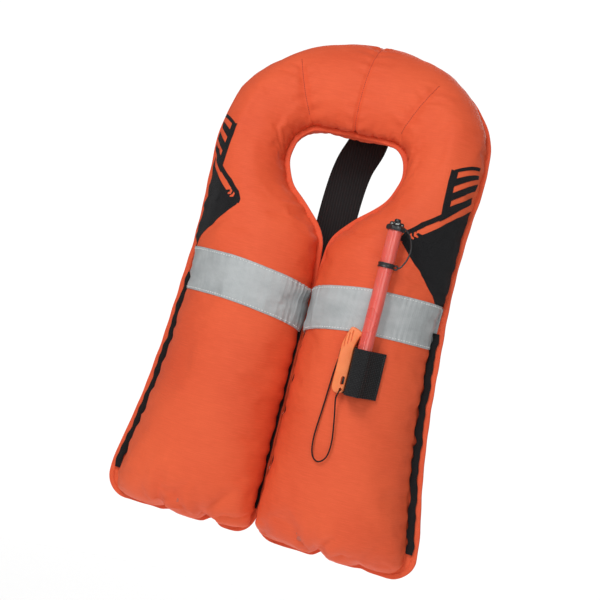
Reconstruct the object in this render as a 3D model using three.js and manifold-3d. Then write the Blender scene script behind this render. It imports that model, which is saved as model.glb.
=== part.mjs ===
// Inflatable life jacket, shown inflated: two lobes joined by a collar, with an oral inflation tube,
// a whistle, a waist belt and a gas inflator.
// Millimetres, +Z up, the front faces -Y, +X is on the viewer's right.
// The origin is the middle of the neck opening, on the sheet that the two fabric panels meet in.
import * as THREE from 'three';
import { mergeVertices } from 'three/addons/utils/BufferGeometryUtils.js';
import Module from 'manifold-3d';

const wasm = await Module();
wasm.setup();

// ---------------------------------------------------------------- driving sizes

const FABRIC = 1.0; // sleeve fabric, with its coating and seam allowance
const FIT_GAP = 0.3; // air left between pieces that touch
const SEAM_GAP = 0.15; // half of the gap between the front and back panels
const FOOT_Z = -424; // bottom edge of both lobes
const FOOT_CORNER = 26; // rounding of the lobes' bottom corners
const FOOT_MARGIN = 9; // flat welded margin along the bottom edge
const FOOT_ROUNDING = 70; // length over which a lobe swells to its full depth
const EDGE_MARGIN = 8; // flat margin beside the lobes and round the neck
const STRIP_MARGIN = 17; // wider outer margin that carries the hook strip
const STRIP_MARGIN_TOP = -95; // height where the outer margin starts to widen
const STRIP_MARGIN_BLEND = 60;
const LEAN_START = -34; // above this height the jacket leans back towards the collar
const LEAN = 0.36;

// Flat outline of the right half, from the foot of the lobe up and round to the top of the collar.
// Each station gives the outer edge [x, z], the inner edge [x, z] and half the inflated depth.
const STATIONS = [
  { outer: [190, -424], inner: [1.5, -424], depth: 66 },
  { outer: [189, -380], inner: [1.5, -380], depth: 66 },
  { outer: [176, -310], inner: [1.5, -310], depth: 66 },
  { outer: [167, -240], inner: [1.5, -240], depth: 65 },
  { outer: [162, -170], inner: [1.5, -170], depth: 64 },
  { outer: [159, -125], inner: [1.5, -105], depth: 62 },
  { outer: [158, -98], inner: [7, -66], depth: 59 },
  { outer: [158, -62], inner: [30, -38], depth: 53 },
  { outer: [160, -15], inner: [56, -14], depth: 48 },
  { outer: [163, 35], inner: [69, 14], depth: 44 },
  { outer: [156, 88], inner: [66, 39], depth: 42 },
  { outer: [131, 129], inner: [51, 54], depth: 41 },
  { outer: [92, 159], inner: [35, 58.5], depth: 41 },
  { outer: [46, 174], inner: [18, 60], depth: 42 },
  { outer: [0, 178], inner: [0, 60], depth: 42 },
];
const TOP_STATION = STATIONS.length - 1;
const LAST_STATION = 2 * TOP_STATION;

// ---------------------------------------------------------------- materials

const LOOKS = {
  fabric: { color: 0xe2532f, roughness: 0.62, metalness: 0 },
  binding: { color: 0xe8452b, roughness: 0.55, metalness: 0 },
  lining: { color: 0xc9482c, roughness: 0.5, metalness: 0 },
  reflective: { color: 0xaab3b6, roughness: 0.35, metalness: 0.35 },
  black_fabric: { color: 0x26272a, roughness: 0.8, metalness: 0 },
  black_webbing: { color: 0x17181a, roughness: 0.85, metalness: 0 },
  tube_red: { color: 0xd8484a, roughness: 0.25, metalness: 0 },
  black_plastic: { color: 0x1b1c1e, roughness: 0.45, metalness: 0 },
  clear_plastic: { color: 0xd9dbd6, roughness: 0.3, metalness: 0 },
  whistle_orange: { color: 0xf28a3c, roughness: 0.4, metalness: 0 },
  steel: { color: 0xb9bcc0, roughness: 0.3, metalness: 0.9 },
  cylinder_paint: { color: 0x8f9498, roughness: 0.35, metalness: 0.6 },
};

const jacket = new THREE.Group();
jacket.name = 'inflatable_life_jacket';

function add(name, geometry, look, parent = jacket) {
  const mesh = new THREE.Mesh(geometry, new THREE.MeshStandardMaterial(LOOKS[look]));
  mesh.name = name;
  parent.add(mesh);
  return mesh;
}

// ---------------------------------------------------------------- solids and booleans

function toManifold(geometry) {
  let plain = geometry.clone();
  plain.deleteAttribute('normal');
  plain.deleteAttribute('uv');
  plain = mergeVertices(plain, 1e-4);
  return new wasm.Manifold(new wasm.Mesh({
    numProp: 3,
    vertProperties: new Float32Array(plain.attributes.position.array),
    triVerts: new Uint32Array(plain.index.array),
  }));
}

function fromManifold(solid) {
  const mesh = solid.getMesh();
  const geometry = new THREE.BufferGeometry();
  geometry.setAttribute('position', new THREE.BufferAttribute(new Float32Array(mesh.vertProperties), 3));
  geometry.setIndex(new THREE.BufferAttribute(new Uint32Array(mesh.triVerts), 1));
  geometry.computeVertexNormals();
  return geometry;
}

function cut(body, ...tools) {
  return fromManifold(tools.reduce((left, tool) => left.subtract(toManifold(tool)), toManifold(body)));
}

function join(...pieces) {
  return fromManifold(pieces.map(toManifold).reduce((left, right) => left.add(right)));
}

// A block given by its lowest and highest corners.
function block(low, high) {
  const size = high.map((value, i) => value - low[i]);
  const geometry = new THREE.BoxGeometry(...size);
  return geometry.translate(...low.map((value, i) => value + size[i] / 2));
}

// A solid of revolution about +Z from [radius, z] pairs.
function turned(profile, segments = 20) {
  return new THREE.LatheGeometry(profile.map(([r, z]) => new THREE.Vector2(r, z)), segments).rotateX(Math.PI / 2);
}

// A rod or a hole tool along +Z.
function rod(radius, low, high, segments = 20) {
  return turned([[0, low], [radius, low], [radius, high], [0, high]], segments);
}

// A hollow ring along +Z.
function ring(inner, outer, low, high, segments = 20) {
  return turned([[inner, low], [outer, low], [outer, high], [inner, high], [inner, low]], segments);
}

// An outline in the XZ plane, given as a THREE.Shape of (x, z), pushed from y = low to y = high.
function plate(shape, low, high, curveSegments = 6) {
  const geometry = new THREE.ExtrudeGeometry(shape, { depth: high - low, bevelEnabled: false, curveSegments });
  return geometry.rotateX(Math.PI / 2).translate(0, high, 0);
}

// A closed polygon through [x, y] pairs.
function polygon(points) {
  return new THREE.Shape(points.map(([x, y]) => new THREE.Vector2(x, y)));
}

// The outline of a flat band of the given thickness that follows a smooth route of [x, y] pairs.
function bandOutline(route, thickness, steps) {
  const curve = new THREE.CatmullRomCurve3(route.map(([x, y]) => new THREE.Vector3(x, y, 0)));
  const left = [];
  const right = [];
  for (let i = 0; i <= steps; i++) {
    const point = curve.getPoint(i / steps);
    const along = curve.getTangent(i / steps);
    left.push([point.x - along.y * thickness / 2, point.y + along.x * thickness / 2]);
    right.unshift([point.x + along.y * thickness / 2, point.y - along.x * thickness / 2]);
  }
  return polygon([...left, ...right]);
}

// A round cord along a route of [x, y, z] points.
function cord(route, radius, steps, sides) {
  const curve = new THREE.CatmullRomCurve3(route.map((point) => new THREE.Vector3(...point)));
  const section = new THREE.Shape();
  section.absarc(0, 0, radius, 0, 2 * Math.PI);
  return new THREE.ExtrudeGeometry(section, { steps, extrudePath: curve, curveSegments: sides, bevelEnabled: false });
}

// A coil spring standing on +Z.
function coil(radius, wire, low, high, turns) {
  const stepsPerTurn = 9;
  const route = [];
  for (let i = 0; i <= turns * stepsPerTurn; i++) {
    const angle = 2 * Math.PI * i / stepsPerTurn;
    const height = low + wire + (high - low - 2 * wire) * i / (turns * stepsPerTurn);
    route.push([radius * Math.cos(angle), radius * Math.sin(angle), height]);
  }
  return cord(route, wire, turns * stepsPerTurn, 3);
}

// A thin closed solid between two grids of points that have the same rows and columns.
// loop joins the last row back to the first.
function shell(outside, inside, loop = false) {
  const rows = outside.length;
  const columns = outside[0].length;
  const positions = [];
  for (const grid of [outside, inside]) {
    for (const row of grid) {
      for (const point of row) positions.push(point.x, point.y, point.z);
    }
  }
  const index = [];
  const at = (layer, i, j) => layer * rows * columns + (i % rows) * columns + j;
  const quad = (a, b, c, d) => index.push(a, b, c, a, c, d);
  const lastRow = loop ? rows : rows - 1;
  for (let i = 0; i < lastRow; i++) {
    for (let j = 0; j < columns - 1; j++) {
      quad(at(0, i, j), at(0, i + 1, j), at(0, i + 1, j + 1), at(0, i, j + 1));
      quad(at(1, i, j), at(1, i, j + 1), at(1, i + 1, j + 1), at(1, i + 1, j));
    }
    quad(at(0, i, 0), at(1, i, 0), at(1, i + 1, 0), at(0, i + 1, 0));
    quad(at(0, i, columns - 1), at(0, i + 1, columns - 1), at(1, i + 1, columns - 1), at(1, i, columns - 1));
  }
  if (!loop) {
    for (let j = 0; j < columns - 1; j++) {
      quad(at(0, 0, j), at(0, 0, j + 1), at(1, 0, j + 1), at(1, 0, j));
      quad(at(0, rows - 1, j), at(1, rows - 1, j), at(1, rows - 1, j + 1), at(0, rows - 1, j + 1));
    }
  }
  return closedSolid(positions, index);
}

// Turns a closed triangle list inside out if it faces inwards.
function closedSolid(positions, index) {
  const corner = (k) => new THREE.Vector3(...positions.slice(3 * index[k], 3 * index[k] + 3));
  let volume = 0;
  for (let k = 0; k < index.length; k += 3) volume += corner(k).dot(corner(k + 1).cross(corner(k + 2)));
  if (volume < 0) {
    for (let k = 0; k < index.length; k += 3) [index[k + 1], index[k + 2]] = [index[k + 2], index[k + 1]];
  }
  const geometry = new THREE.BufferGeometry();
  geometry.setAttribute('position', new THREE.Float32BufferAttribute(positions, 3));
  geometry.setIndex(index);
  geometry.computeVertexNormals();
  return geometry;
}

// ---------------------------------------------------------------- the inflated surface

// Both edges run from the foot of the left lobe (0) over the collar to the foot of the right (LAST_STATION).
function edgeCurve(edge) {
  const right = STATIONS.map((station) => new THREE.Vector3(...station[edge], station.depth));
  const left = right.slice(0, -1).map((point) => new THREE.Vector3(-point.x, point.y, point.z));
  return new THREE.CatmullRomCurve3([...left, ...right.reverse()], false, 'catmullrom', 0.5);
}
const OUTER = edgeCurve('outer');
const INNER = edgeCurve('inner');

// The two edges, the margins and the half depth at one station. footMargin moves where the swelling starts.
function section(s, footMargin = FOOT_MARGIN) {
  const outer = OUTER.getPoint(s / LAST_STATION);
  const inner = INNER.getPoint(s / LAST_STATION);
  const onLobe = s < 5 || s > LAST_STATION - 5;
  const aboveFoot = onLobe ? Math.max(0, outer.y - FOOT_Z) : Infinity;
  const intoCorner = Math.max(0, FOOT_CORNER - aboveFoot);
  const inset = FOOT_CORNER - Math.sqrt(FOOT_CORNER ** 2 - intoCorner ** 2);
  const side = Math.sign(s - TOP_STATION);
  const swell = Math.min(1, Math.max(0, (aboveFoot - footMargin) / FOOT_ROUNDING));
  const widening = Math.min(1, Math.max(0, (STRIP_MARGIN_TOP - outer.y) / STRIP_MARGIN_BLEND));
  return {
    outer: new THREE.Vector2(outer.x - side * inset, outer.y),
    inner: new THREE.Vector2(inner.x + side * inset, inner.y),
    outerMargin: EDGE_MARGIN + (STRIP_MARGIN - EDGE_MARGIN) * widening,
    depth: outer.z * Math.sqrt(1 - (1 - swell) ** 2),
  };
}

// The point that is n behind (+) or before (-) the middle sheet at flat place x, z. The sheet leans back.
function place(x, z, n) {
  const rise = Math.max(0, z - LEAN_START);
  const angle = Math.atan(LEAN * rise / 100);
  return new THREE.Vector3(x, LEAN * rise * rise / 200 + n * Math.cos(angle), z - n * Math.sin(angle));
}

// A point on a layer of the jacket. side is -1 at the front and +1 at the back. across runs from -1 at the
// outer edge, 0 where the swelling starts, 1 where it ends, to 2 at the inner edge. layer.lift is the height
// of the layer over the middle sheet, layer.grow widens the swelling and layer.deepen adds to its depth.
function jacketPoint(side, s, across, layer) {
  const cut = section(s, layer.footMargin);
  const toInner = cut.inner.clone().sub(cut.outer);
  const width = toInner.length();
  const start = cut.outerMargin;
  const end = width - EDGE_MARGIN;
  const half = (end - start) / 2;
  const middle = (end + start) / 2;
  const angle = Math.PI * Math.min(1, Math.max(0, across));
  let along = middle - (half + layer.grow) * Math.cos(angle);
  if (across < 0) along = (start - layer.grow) * (1 + across);
  if (across > 1) along = end + layer.grow + (width - end - layer.grow) * (across - 1);
  const depth = Math.max(0, cut.depth + layer.deepen);
  const spot = cut.outer.clone().addScaledVector(toInner, along / width);
  return place(spot.x, spot.y, side * (layer.lift + depth * Math.sin(angle)));
}

const SLEEVE_OUT = { lift: FABRIC, grow: 0, deepen: 0 };
const SLEEVE_IN = { lift: SEAM_GAP, grow: SEAM_GAP - FABRIC, deepen: 0 };
const BLADDER_OUT = { lift: 0.8, grow: -2.4, deepen: -1.9, footMargin: FOOT_MARGIN + 2.5 };
const BLADDER_IN = { lift: SEAM_GAP, grow: -3.2, deepen: -2.4, footMargin: FOOT_MARGIN + 2.5 };

// A layer that lies on the sleeve: its near face is one gap off the fabric.
function overSleeve(height) {
  return { lift: FABRIC + height, grow: height, deepen: 0 };
}

function spread(low, high, steps) {
  return Array.from({ length: steps + 1 }, (_, i) => low + (high - low) * i / steps);
}

function layerGrid(side, stations, acrosses, layer) {
  return stations.map((s) => acrosses.map((across) => jacketPoint(side, s, across, layer)));
}

// The station on the right lobe whose cut passes flat height z at that place across the lobe.
function stationAt(z, across = 0) {
  let low = TOP_STATION + 3;
  let high = LAST_STATION;
  for (let i = 0; i < 30; i++) {
    const middle = (low + high) / 2;
    const outer = OUTER.getPoint(middle / LAST_STATION);
    const inner = INNER.getPoint(middle / LAST_STATION);
    const share = (1 - Math.cos(Math.PI * Math.max(0, across))) / 2;
    if (THREE.MathUtils.lerp(outer.y, inner.y, share) > z) low = middle;
    else high = middle;
  }
  return low;
}

// Rows are close together at the rounded feet and even elsewhere.
const FOOT_ROWS = [0, 0.03, 0.1, 0.2, 0.26, 0.36, 0.55, 0.85, 1.2];
const SLEEVE_ROWS = [
  ...FOOT_ROWS,
  ...spread(2, LAST_STATION - 2, 30),
  ...FOOT_ROWS.map((s) => LAST_STATION - s).reverse(),
];
const BULGE_COLUMNS = spread(0, 1, 8);
const SLEEVE_COLUMNS = [-1, ...BULGE_COLUMNS, 2];
const BLADDER_START = 0.3;
// The bladder shares the sleeve's rows, so that their flat faces nest.
const BLADDER_ROWS = SLEEVE_ROWS.filter((s) => s > BLADDER_START && s < LAST_STATION - BLADDER_START);

// ---------------------------------------------------------------- places of the fittings

const ORAL = { x: 91, y: -78, z: -205, tilt: THREE.MathUtils.degToRad(2.5) };
const STEM = { x: -93, z: -215 };
const PORT_RADIUS = 8.4; // holes in the fabric for the tube base and the inflator stem

// ---------------------------------------------------------------- sleeve, bladder and binding

function alongY(geometry, x, z) {
  return geometry.rotateX(-Math.PI / 2).translate(x, 0, z);
}

const tubePort = alongY(rod(PORT_RADIUS, -80, -40), ORAL.x, ORAL.z);
const stemPort = alongY(rod(PORT_RADIUS, 40, 80), STEM.x, STEM.z);

for (const [name, side, port] of [['front', -1, tubePort], ['back', 1, stemPort]]) {
  const sleeve = shell(
    layerGrid(side, SLEEVE_ROWS, SLEEVE_COLUMNS, SLEEVE_OUT),
    layerGrid(side, SLEEVE_ROWS, SLEEVE_COLUMNS, SLEEVE_IN),
  );
  add(`sleeve_${name}`, cut(sleeve, port), 'fabric');
  const bladder = shell(
    layerGrid(side, BLADDER_ROWS, BULGE_COLUMNS, BLADDER_OUT),
    layerGrid(side, BLADDER_ROWS, BULGE_COLUMNS, BLADDER_IN),
  );
  add(`bladder_${name}`, cut(bladder, port), 'lining');
}

// One tape runs round the whole edge: up the left side, over the collar, down the right, and back
// along the inner edges and the neck opening.
const BINDING = { leg: 5, thickness: 0.8 };

function edgeLoop() {
  const outer = SLEEVE_ROWS.map((s) => section(s).outer);
  const inner = SLEEVE_ROWS.map((s) => section(s).inner).reverse();
  return [...outer, ...inner];
}

function bindingGrid(faces) {
  const loop = edgeLoop();
  return loop.map((point, i) => {
    const before = loop[(i + loop.length - 1) % loop.length];
    const after = loop[(i + 1) % loop.length];
    const along = after.clone().sub(before).normalize();
    const inward = new THREE.Vector2(along.y, -along.x);
    return faces.map(([q, n]) => place(point.x + inward.x * q, point.y + inward.y * q, n));
  });
}

const bindingNear = FABRIC + FIT_GAP;
const bindingFar = bindingNear + BINDING.thickness;
add('edge_binding', shell(
  bindingGrid([[BINDING.leg, -bindingFar], [-bindingFar + FABRIC, -bindingFar],
    [-bindingFar + FABRIC, bindingFar], [BINDING.leg, bindingFar]]),
  bindingGrid([[BINDING.leg, -bindingNear], [-FIT_GAP, -bindingNear],
    [-FIT_GAP, bindingNear], [BINDING.leg, bindingNear]]),
  true,
), 'binding');

// ---------------------------------------------------------------- trim on the front

// A patch on the front of one lobe. rowsOf(across) gives its [top, bottom] flat heights at that place.
function frontPatch(mirror, acrosses, rowsOf, rowSteps, near, far) {
  const grid = (height) => acrosses.map((across) => {
    const [top, bottom] = rowsOf(across);
    return spread(top, bottom, rowSteps).map((z) => {
      const point = jacketPoint(-1, stationAt(z, across), across, overSleeve(height));
      point.x *= mirror;
      return point;
    });
  });
  return shell(grid(far), grid(near));
}

const SIDES = [['right', 1], ['left', -1]];

// TRIM_LIFT keeps the flat faces of the trim clear of the flat faces of the sleeve.
const TRIM_LIFT = 1.0;
const TAPE = { width: 50, outerTop: -115, innerTop: -131, thickness: 0.6 };
function tapeRows(across) {
  const top = THREE.MathUtils.lerp(TAPE.outerTop, TAPE.innerTop, across);
  return [top, top - TAPE.width];
}

const PANEL = { top: 44, foot: -111, tipZ: -55, tipAcross: 0.42, barAcross: 0.2, thickness: 0.5 };
// The contrast panel's inner edge: a bar beside the shoulder, a wedge that reaches in to a tip, then back out.
function panelReach(t) {
  const z = THREE.MathUtils.lerp(PANEL.top, PANEL.foot, t);
  if (z > -28) return PANEL.barAcross;
  if (z > PANEL.tipZ) {
    return THREE.MathUtils.lerp(PANEL.barAcross, PANEL.tipAcross, (z + 28) / (PANEL.tipZ + 28));
  }
  const down = (z - PANEL.tipZ) / (PANEL.foot - PANEL.tipZ);
  return THREE.MathUtils.lerp(PANEL.tipAcross, 0.05, Math.sqrt(down));
}

function shoulderPanel(mirror) {
  const grid = (height) => spread(0, 1, 18).map((t) => {
    const z = THREE.MathUtils.lerp(PANEL.top, PANEL.foot, t);
    return spread(0.02, panelReach(t), 6).map((across) => {
      const point = jacketPoint(-1, stationAt(z, across), across, overSleeve(height));
      point.x *= mirror;
      return point;
    });
  });
  return shell(grid(TRIM_LIFT + PANEL.thickness), grid(TRIM_LIFT));
}

const STRIP = { width: 8.5, top: -148, foot: -390, thickness: 1.4 };
// Hook strips are straight-sided here. from is the distance of the strip's near side from the jacket's edge.
function hookStrip(mirror, edge, from, width, near) {
  const grid = (height) => spread(STRIP.top, STRIP.foot, 12).map((z) => {
    const cutHere = section(stationAt(z));
    const start = cutHere[edge];
    const inward = edge === 'outer' ? -1 : 1;
    return [from, from + width].map((q) => place(mirror * (start.x + inward * q), z, -height));
  });
  return shell(grid(near + STRIP.thickness), grid(near));
}

for (const [name, mirror] of SIDES) {
  const tapeAcross = [-0.3, ...BULGE_COLUMNS];
  add(`reflective_tape_${name}`, frontPatch(
    mirror, tapeAcross, tapeRows, 4, TRIM_LIFT, TRIM_LIFT + TAPE.thickness,
  ), 'reflective');
  add(`shoulder_panel_${name}`, shoulderPanel(mirror), 'black_fabric');
  const outerNear = FABRIC + TRIM_LIFT + TAPE.thickness + FIT_GAP;
  add(`outer_hook_strip_${name}`, hookStrip(
    mirror, 'outer', BINDING.leg + 1, STRIP.width, outerNear,
  ), 'black_fabric');
  add(`inner_hook_strip_${name}`, hookStrip(mirror, 'inner', 0.5, 5.4, bindingFar + FIT_GAP), 'black_fabric');
}

// ---------------------------------------------------------------- oral inflation tube

// The tube's own frame: +Z runs up the tube, and z = 0 is level with the base.
const oral = new THREE.Group();
oral.name = 'oral_inflation';
oral.position.set(ORAL.x, ORAL.y, ORAL.z);
oral.rotation.x = -ORAL.tilt;
jacket.add(oral);

const TUBE = { radius: 8, bore: 6, foot: 8, top: 166 };
const RING_HEIGHT = 120.5;
const CAP = { foot: 160, top: 172, radius: 10.2, lobes: 8 };

function tubeBase() {
  const flange = alongY(rod(13, 22, 23.4), 0, 0);
  const boss = alongY(rod(7.6, -3, 23), 0, 0);
  const spigot = rod(5.6, 0, 22);
  const collar = rod(7.6, -6.5, 6.5);
  const airUp = rod(3.4, -1, 30);
  const airIn = alongY(rod(3.4, -2, 30), 0, 0);
  return cut(join(flange, boss, spigot, collar), airUp, airIn);
}

function valveBody() {
  return turned([[3.9, 167.6], [3.9, 157.4], [2.4, 157.4], [2.4, 156], [4.5, 156], [4.5, 150], [5.7, 150],
    [5.7, 166.3], [7.6, 166.3], [7.6, 167.6], [3.9, 167.6]]);
}

function valvePoppet() {
  return turned([[0, 154.2], [4, 154.2], [4, 155.7], [1.1, 155.7], [1.1, 165], [3, 165], [3, 166.6], [0, 166.6]], 16);
}

function tubeCap() {
  const crown = new THREE.Shape();
  const points = CAP.lobes * 4;
  for (let i = 0; i < points; i++) {
    const angle = 2 * Math.PI * i / points;
    const radius = CAP.radius + 0.7 * Math.cos(CAP.lobes * angle);
    if (i === 0) crown.moveTo(radius, 0);
    else crown.lineTo(radius * Math.cos(angle), radius * Math.sin(angle));
  }
  const body = new THREE.ExtrudeGeometry(crown, { depth: CAP.top - CAP.foot, bevelEnabled: false });
  body.translate(0, 0, CAP.foot);
  return cut(body, rod(TUBE.radius + 0.4, CAP.foot - 1, CAP.top - 3));
}

function tetherRing() {
  const lug = block([8.8, -1.6, RING_HEIGHT - 1.6], [12.4, 1.6, RING_HEIGHT + 1.6]);
  return join(ring(TUBE.radius + FIT_GAP, 9.6, RING_HEIGHT - 2.7, RING_HEIGHT + 2.7), lug);
}

// Route of the cap's tether, from the ring's lug out and back to the side of the cap.
const TETHER_ROUTE = [
  [13.3, 0, 120.5], [16.5, 0.5, 123.5], [20.5, 2, 133], [21.5, 3, 145], [17.5, 1.5, 157], [12.2, 0, 163.5],
];

add('tube_base', tubeBase(), 'black_plastic', oral);
add('oral_tube', ring(TUBE.bore, TUBE.radius, TUBE.foot, TUBE.top), 'tube_red', oral);
add('valve_body', valveBody(), 'clear_plastic', oral);
add('valve_poppet', valvePoppet(), 'clear_plastic', oral);
add('valve_spring', coil(2.3, 0.35, 157.8, 164.6, 4), 'steel', oral);
add('tube_cap', tubeCap(), 'black_plastic', oral);
add('tether_ring', tetherRing(), 'black_plastic', oral);
add('cap_tether', cord(TETHER_ROUTE, 1.0, 18, 4), 'black_plastic', oral);

// ---------------------------------------------------------------- keeper patch, whistle and lanyard

// The keeper is an elastic patch, sewn down at its sides, that arches over the foot of the tube.
const KEEPER = { left: 75, right: 113, top: -179, foot: -231, lift: 2.8, thickness: 1.6 };
const ARCH = { half: 9.6, height: 20, sharpness: 8, wall: 1.2 };

// The y of the front fabric at x, z on the right lobe.
function frontFabricY(x, z) {
  const s = stationAt(z);
  const cutHere = section(s);
  const start = cutHere.outer.x - cutHere.outerMargin;
  const end = cutHere.inner.x + EDGE_MARGIN;
  const half = (start - end) / 2;
  const off = (x - (start + end) / 2) / half;
  return -FABRIC - cutHere.depth * Math.sqrt(Math.max(0, 1 - off * off));
}

function keeperPatch() {
  const grid = (extra, half) => {
    const columns = [
      ...spread(KEEPER.left, ORAL.x - half, 2),
      ...spread(-0.94, 0.94, 10).map((u) => ORAL.x + u * half),
      ...spread(ORAL.x + half, KEEPER.right, 4),
    ];
    return spread(KEEPER.top, KEEPER.foot, 5).map((z) => columns.map((x) => {
      const u = Math.min(1, Math.abs(x - ORAL.x) / half);
      const arch = ARCH.height * (1 - u ** ARCH.sharpness);
      return new THREE.Vector3(x, frontFabricY(x, z) - KEEPER.lift - extra - arch, z);
    }));
  };
  return shell(grid(KEEPER.thickness, ARCH.half + ARCH.wall), grid(0, ARCH.half));
}

const WHISTLE = { x: 72.2, back: -70.5, front: -79.1, foot: -232, top: -158, half: 7.3 };
const CLIP = { front: -67.8, back: -66.9 };

function whistle() {
  const outline = new THREE.Shape();
  const footCentre = WHISTLE.foot + WHISTLE.half;
  outline.moveTo(WHISTLE.x - WHISTLE.half, footCentre);
  outline.absarc(WHISTLE.x, footCentre, WHISTLE.half, Math.PI, 2 * Math.PI);
  outline.lineTo(WHISTLE.x + WHISTLE.half, -182);
  outline.lineTo(WHISTLE.x + WHISTLE.half + 2.6, WHISTLE.top - 1.5);
  outline.lineTo(WHISTLE.x - WHISTLE.half + 5, WHISTLE.top);
  outline.lineTo(WHISTLE.x - WHISTLE.half, -176);
  const body = plate(outline, WHISTLE.front, WHISTLE.back);
  const middleY = (WHISTLE.front + WHISTLE.back) / 2;
  const mouth = block([WHISTLE.x - 2.5, middleY - 1.6, -212], [WHISTLE.x + 4.5, middleY + 1.6, WHISTLE.top + 5]);
  const window = block([WHISTLE.x - 2.5, WHISTLE.front - 1, -211], [WHISTLE.x + 2.5, middleY, -205]);
  const lanyardHole = alongY(rod(2, -90, -60, 12), WHISTLE.x, WHISTLE.foot + 6);
  const clipBridge = block([76.2, WHISTLE.back - 1, -178], [79.6, CLIP.back, -174.6]);
  const clipTongue = block([76.2, CLIP.front, -196], [79.6, CLIP.back, -174.6]);
  return cut(join(body, clipBridge, clipTongue), mouth, window, lanyardHole);
}

// Route of the lanyard, from its tab behind the whistle, down round the hanging bight, and up to the
// whistle's hole.
const LANYARD_ROUTE = [
  [63.2, -68.2, -196], [61.6, -69, -212], [59.6, -68.8, -250], [57.6, -68.6, -285], [60.4, -68.4, -304],
  [68.5, -68.4, -310.5], [77, -68.5, -303], [79, -68.6, -285], [75.6, -69, -258], [72, -71, -240],
  [71.8, -80.6, -233.6],
];

function lanyardTab() {
  return block([60.5, -68.2, -194.5], [67.5, -66, -184]);
}

add('keeper_patch', keeperPatch(), 'black_webbing');
add('whistle', whistle(), 'whistle_orange');
add('lanyard_tab', lanyardTab(), 'black_webbing');
add('whistle_lanyard', cord(LANYARD_ROUTE, 0.9, 46, 4), 'black_webbing');

// ---------------------------------------------------------------- back strap

const BACK_STRAP = { width: 50, thickness: 1.6 };
// Middle of the strap: off the back of the collar, down behind the neck opening to the waist belt.
const STRAP_ROUTE = [
  [4, 83.2, 99.5], [3, 80, 84], [2, 78.8, 61], [-8, 79.4, 30], [-13, 82, -10], [-15, 88, -70],
  [-14, 99, -150], [-10, 118, -225], [-6, 141, -280], [-4, 156.6, -312], [-4, 157.2, -338],
];

function backStrap() {
  const curve = new THREE.CatmullRomCurve3(STRAP_ROUTE.map((point) => new THREE.Vector3(...point)));
  const grid = (off) => spread(0, 1, 26).map((t) => {
    const point = curve.getPointAt(t);
    const along = curve.getTangentAt(t);
    const across = new THREE.Vector3(1, 0, 0).addScaledVector(along, -along.x).normalize();
    const out = across.clone().cross(along);
    return [-1, 1].map((end) => point.clone()
      .addScaledVector(across, end * BACK_STRAP.width / 2)
      .addScaledVector(out, off));
  });
  return shell(grid(BACK_STRAP.thickness / 2), grid(-BACK_STRAP.thickness / 2));
}

// The patch that holds the top of the strap on the back of the collar.
function strapAnchor() {
  const stations = spread(TOP_STATION - 0.72, TOP_STATION + 0.72, 6);
  const acrosses = spread(0.2, 0.46, 4);
  return shell(
    layerGrid(1, stations, acrosses, overSleeve(2)),
    layerGrid(1, stations, acrosses, overSleeve(FIT_GAP)),
  );
}

add('back_strap', backStrap(), 'black_webbing');
add('strap_anchor', strapAnchor(), 'black_webbing');

// ---------------------------------------------------------------- waist belt and buckle

const BELT = { z: -320, width: 38, thickness: 2 };
const BUCKLE = { y: 85, half: 6, tall: 48 };

// A plan outline in XY pushed up and down from the belt's height.
function beltBand(shape, height) {
  const geometry = new THREE.ExtrudeGeometry(shape, { depth: height, bevelEnabled: false, curveSegments: 4 });
  return geometry.translate(0, 0, BELT.z - height / 2);
}

// From the sewn tail by the buckle's socket, round the socket's bar, round the waist and back to the
// adjuster's bar.
const BELT_ROUTE = [
  [-66, 81.4], [-42, 81.2], [-34.6, 82], [-32.9, 85], [-34.6, 88], [-42, 88.6], [-70, 86], [-104, 85.4],
  [-128, 92], [-141, 110], [-140, 136], [-120, 155], [-80, 160], [0, 160.4], [80, 160], [122, 155],
  [143, 136], [144, 110], [138, 95], [126, 88.4], [116, 87.9], [112.8, 86], [116, 83.6], [128, 83.4],
];

function buckleSocket() {
  const low = BELT.z - BUCKLE.tall / 2;
  const high = BELT.z + BUCKLE.tall / 2;
  const housing = block([-30, BUCKLE.y - BUCKLE.half, low], [6, BUCKLE.y + BUCKLE.half, high]);
  const sides = [low, high - 3].map((z) => block([-40, BUCKLE.y - 1.7, z], [-29, BUCKLE.y + 1.7, z + 3]));
  const bar = block([-40, BUCKLE.y - 1.7, low], [-36.6, BUCKLE.y + 1.7, high]);
  const cavity = block([-24, BUCKLE.y - 3.3, BELT.z - 20], [7, BUCKLE.y + 3.3, BELT.z + 20]);
  const windows = [low - 1, high - 5].map((z) => block([-16, BUCKLE.y - 3.3, z], [-4, BUCKLE.y + 3.3, z + 6]));
  return cut(join(housing, ...sides, bar), cavity, ...windows);
}

function bucklePlug() {
  const arm = (sign) => plate(polygon([
    [8, BELT.z + sign * 19], [-4, BELT.z + sign * 19], [-10, BELT.z + sign * 19.4], [-20, BELT.z + sign * 14],
    [-18, BELT.z + sign * 12.5], [-10, BELT.z + sign * 15.5], [8, BELT.z + sign * 15],
  ]), BUCKLE.y - 2.8, BUCKLE.y + 2.8);
  const guide = block([-21, BUCKLE.y - 2.8, BELT.z - 2], [8, BUCKLE.y + 2.8, BELT.z + 2]);
  const base = block([6.6, BUCKLE.y - 4.5, BELT.z - 23], [17, BUCKLE.y + 4.5, BELT.z + 23]);
  const sides = [-23, 20].map((z) => block([16, BUCKLE.y - 2, BELT.z + z], [31, BUCKLE.y + 2, BELT.z + z + 3]));
  const bar = block([27.6, BUCKLE.y - 2, BELT.z - 23], [31, BUCKLE.y + 2, BELT.z + 23]);
  return join(arm(1), arm(-1), guide, base, ...sides, bar);
}

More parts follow.
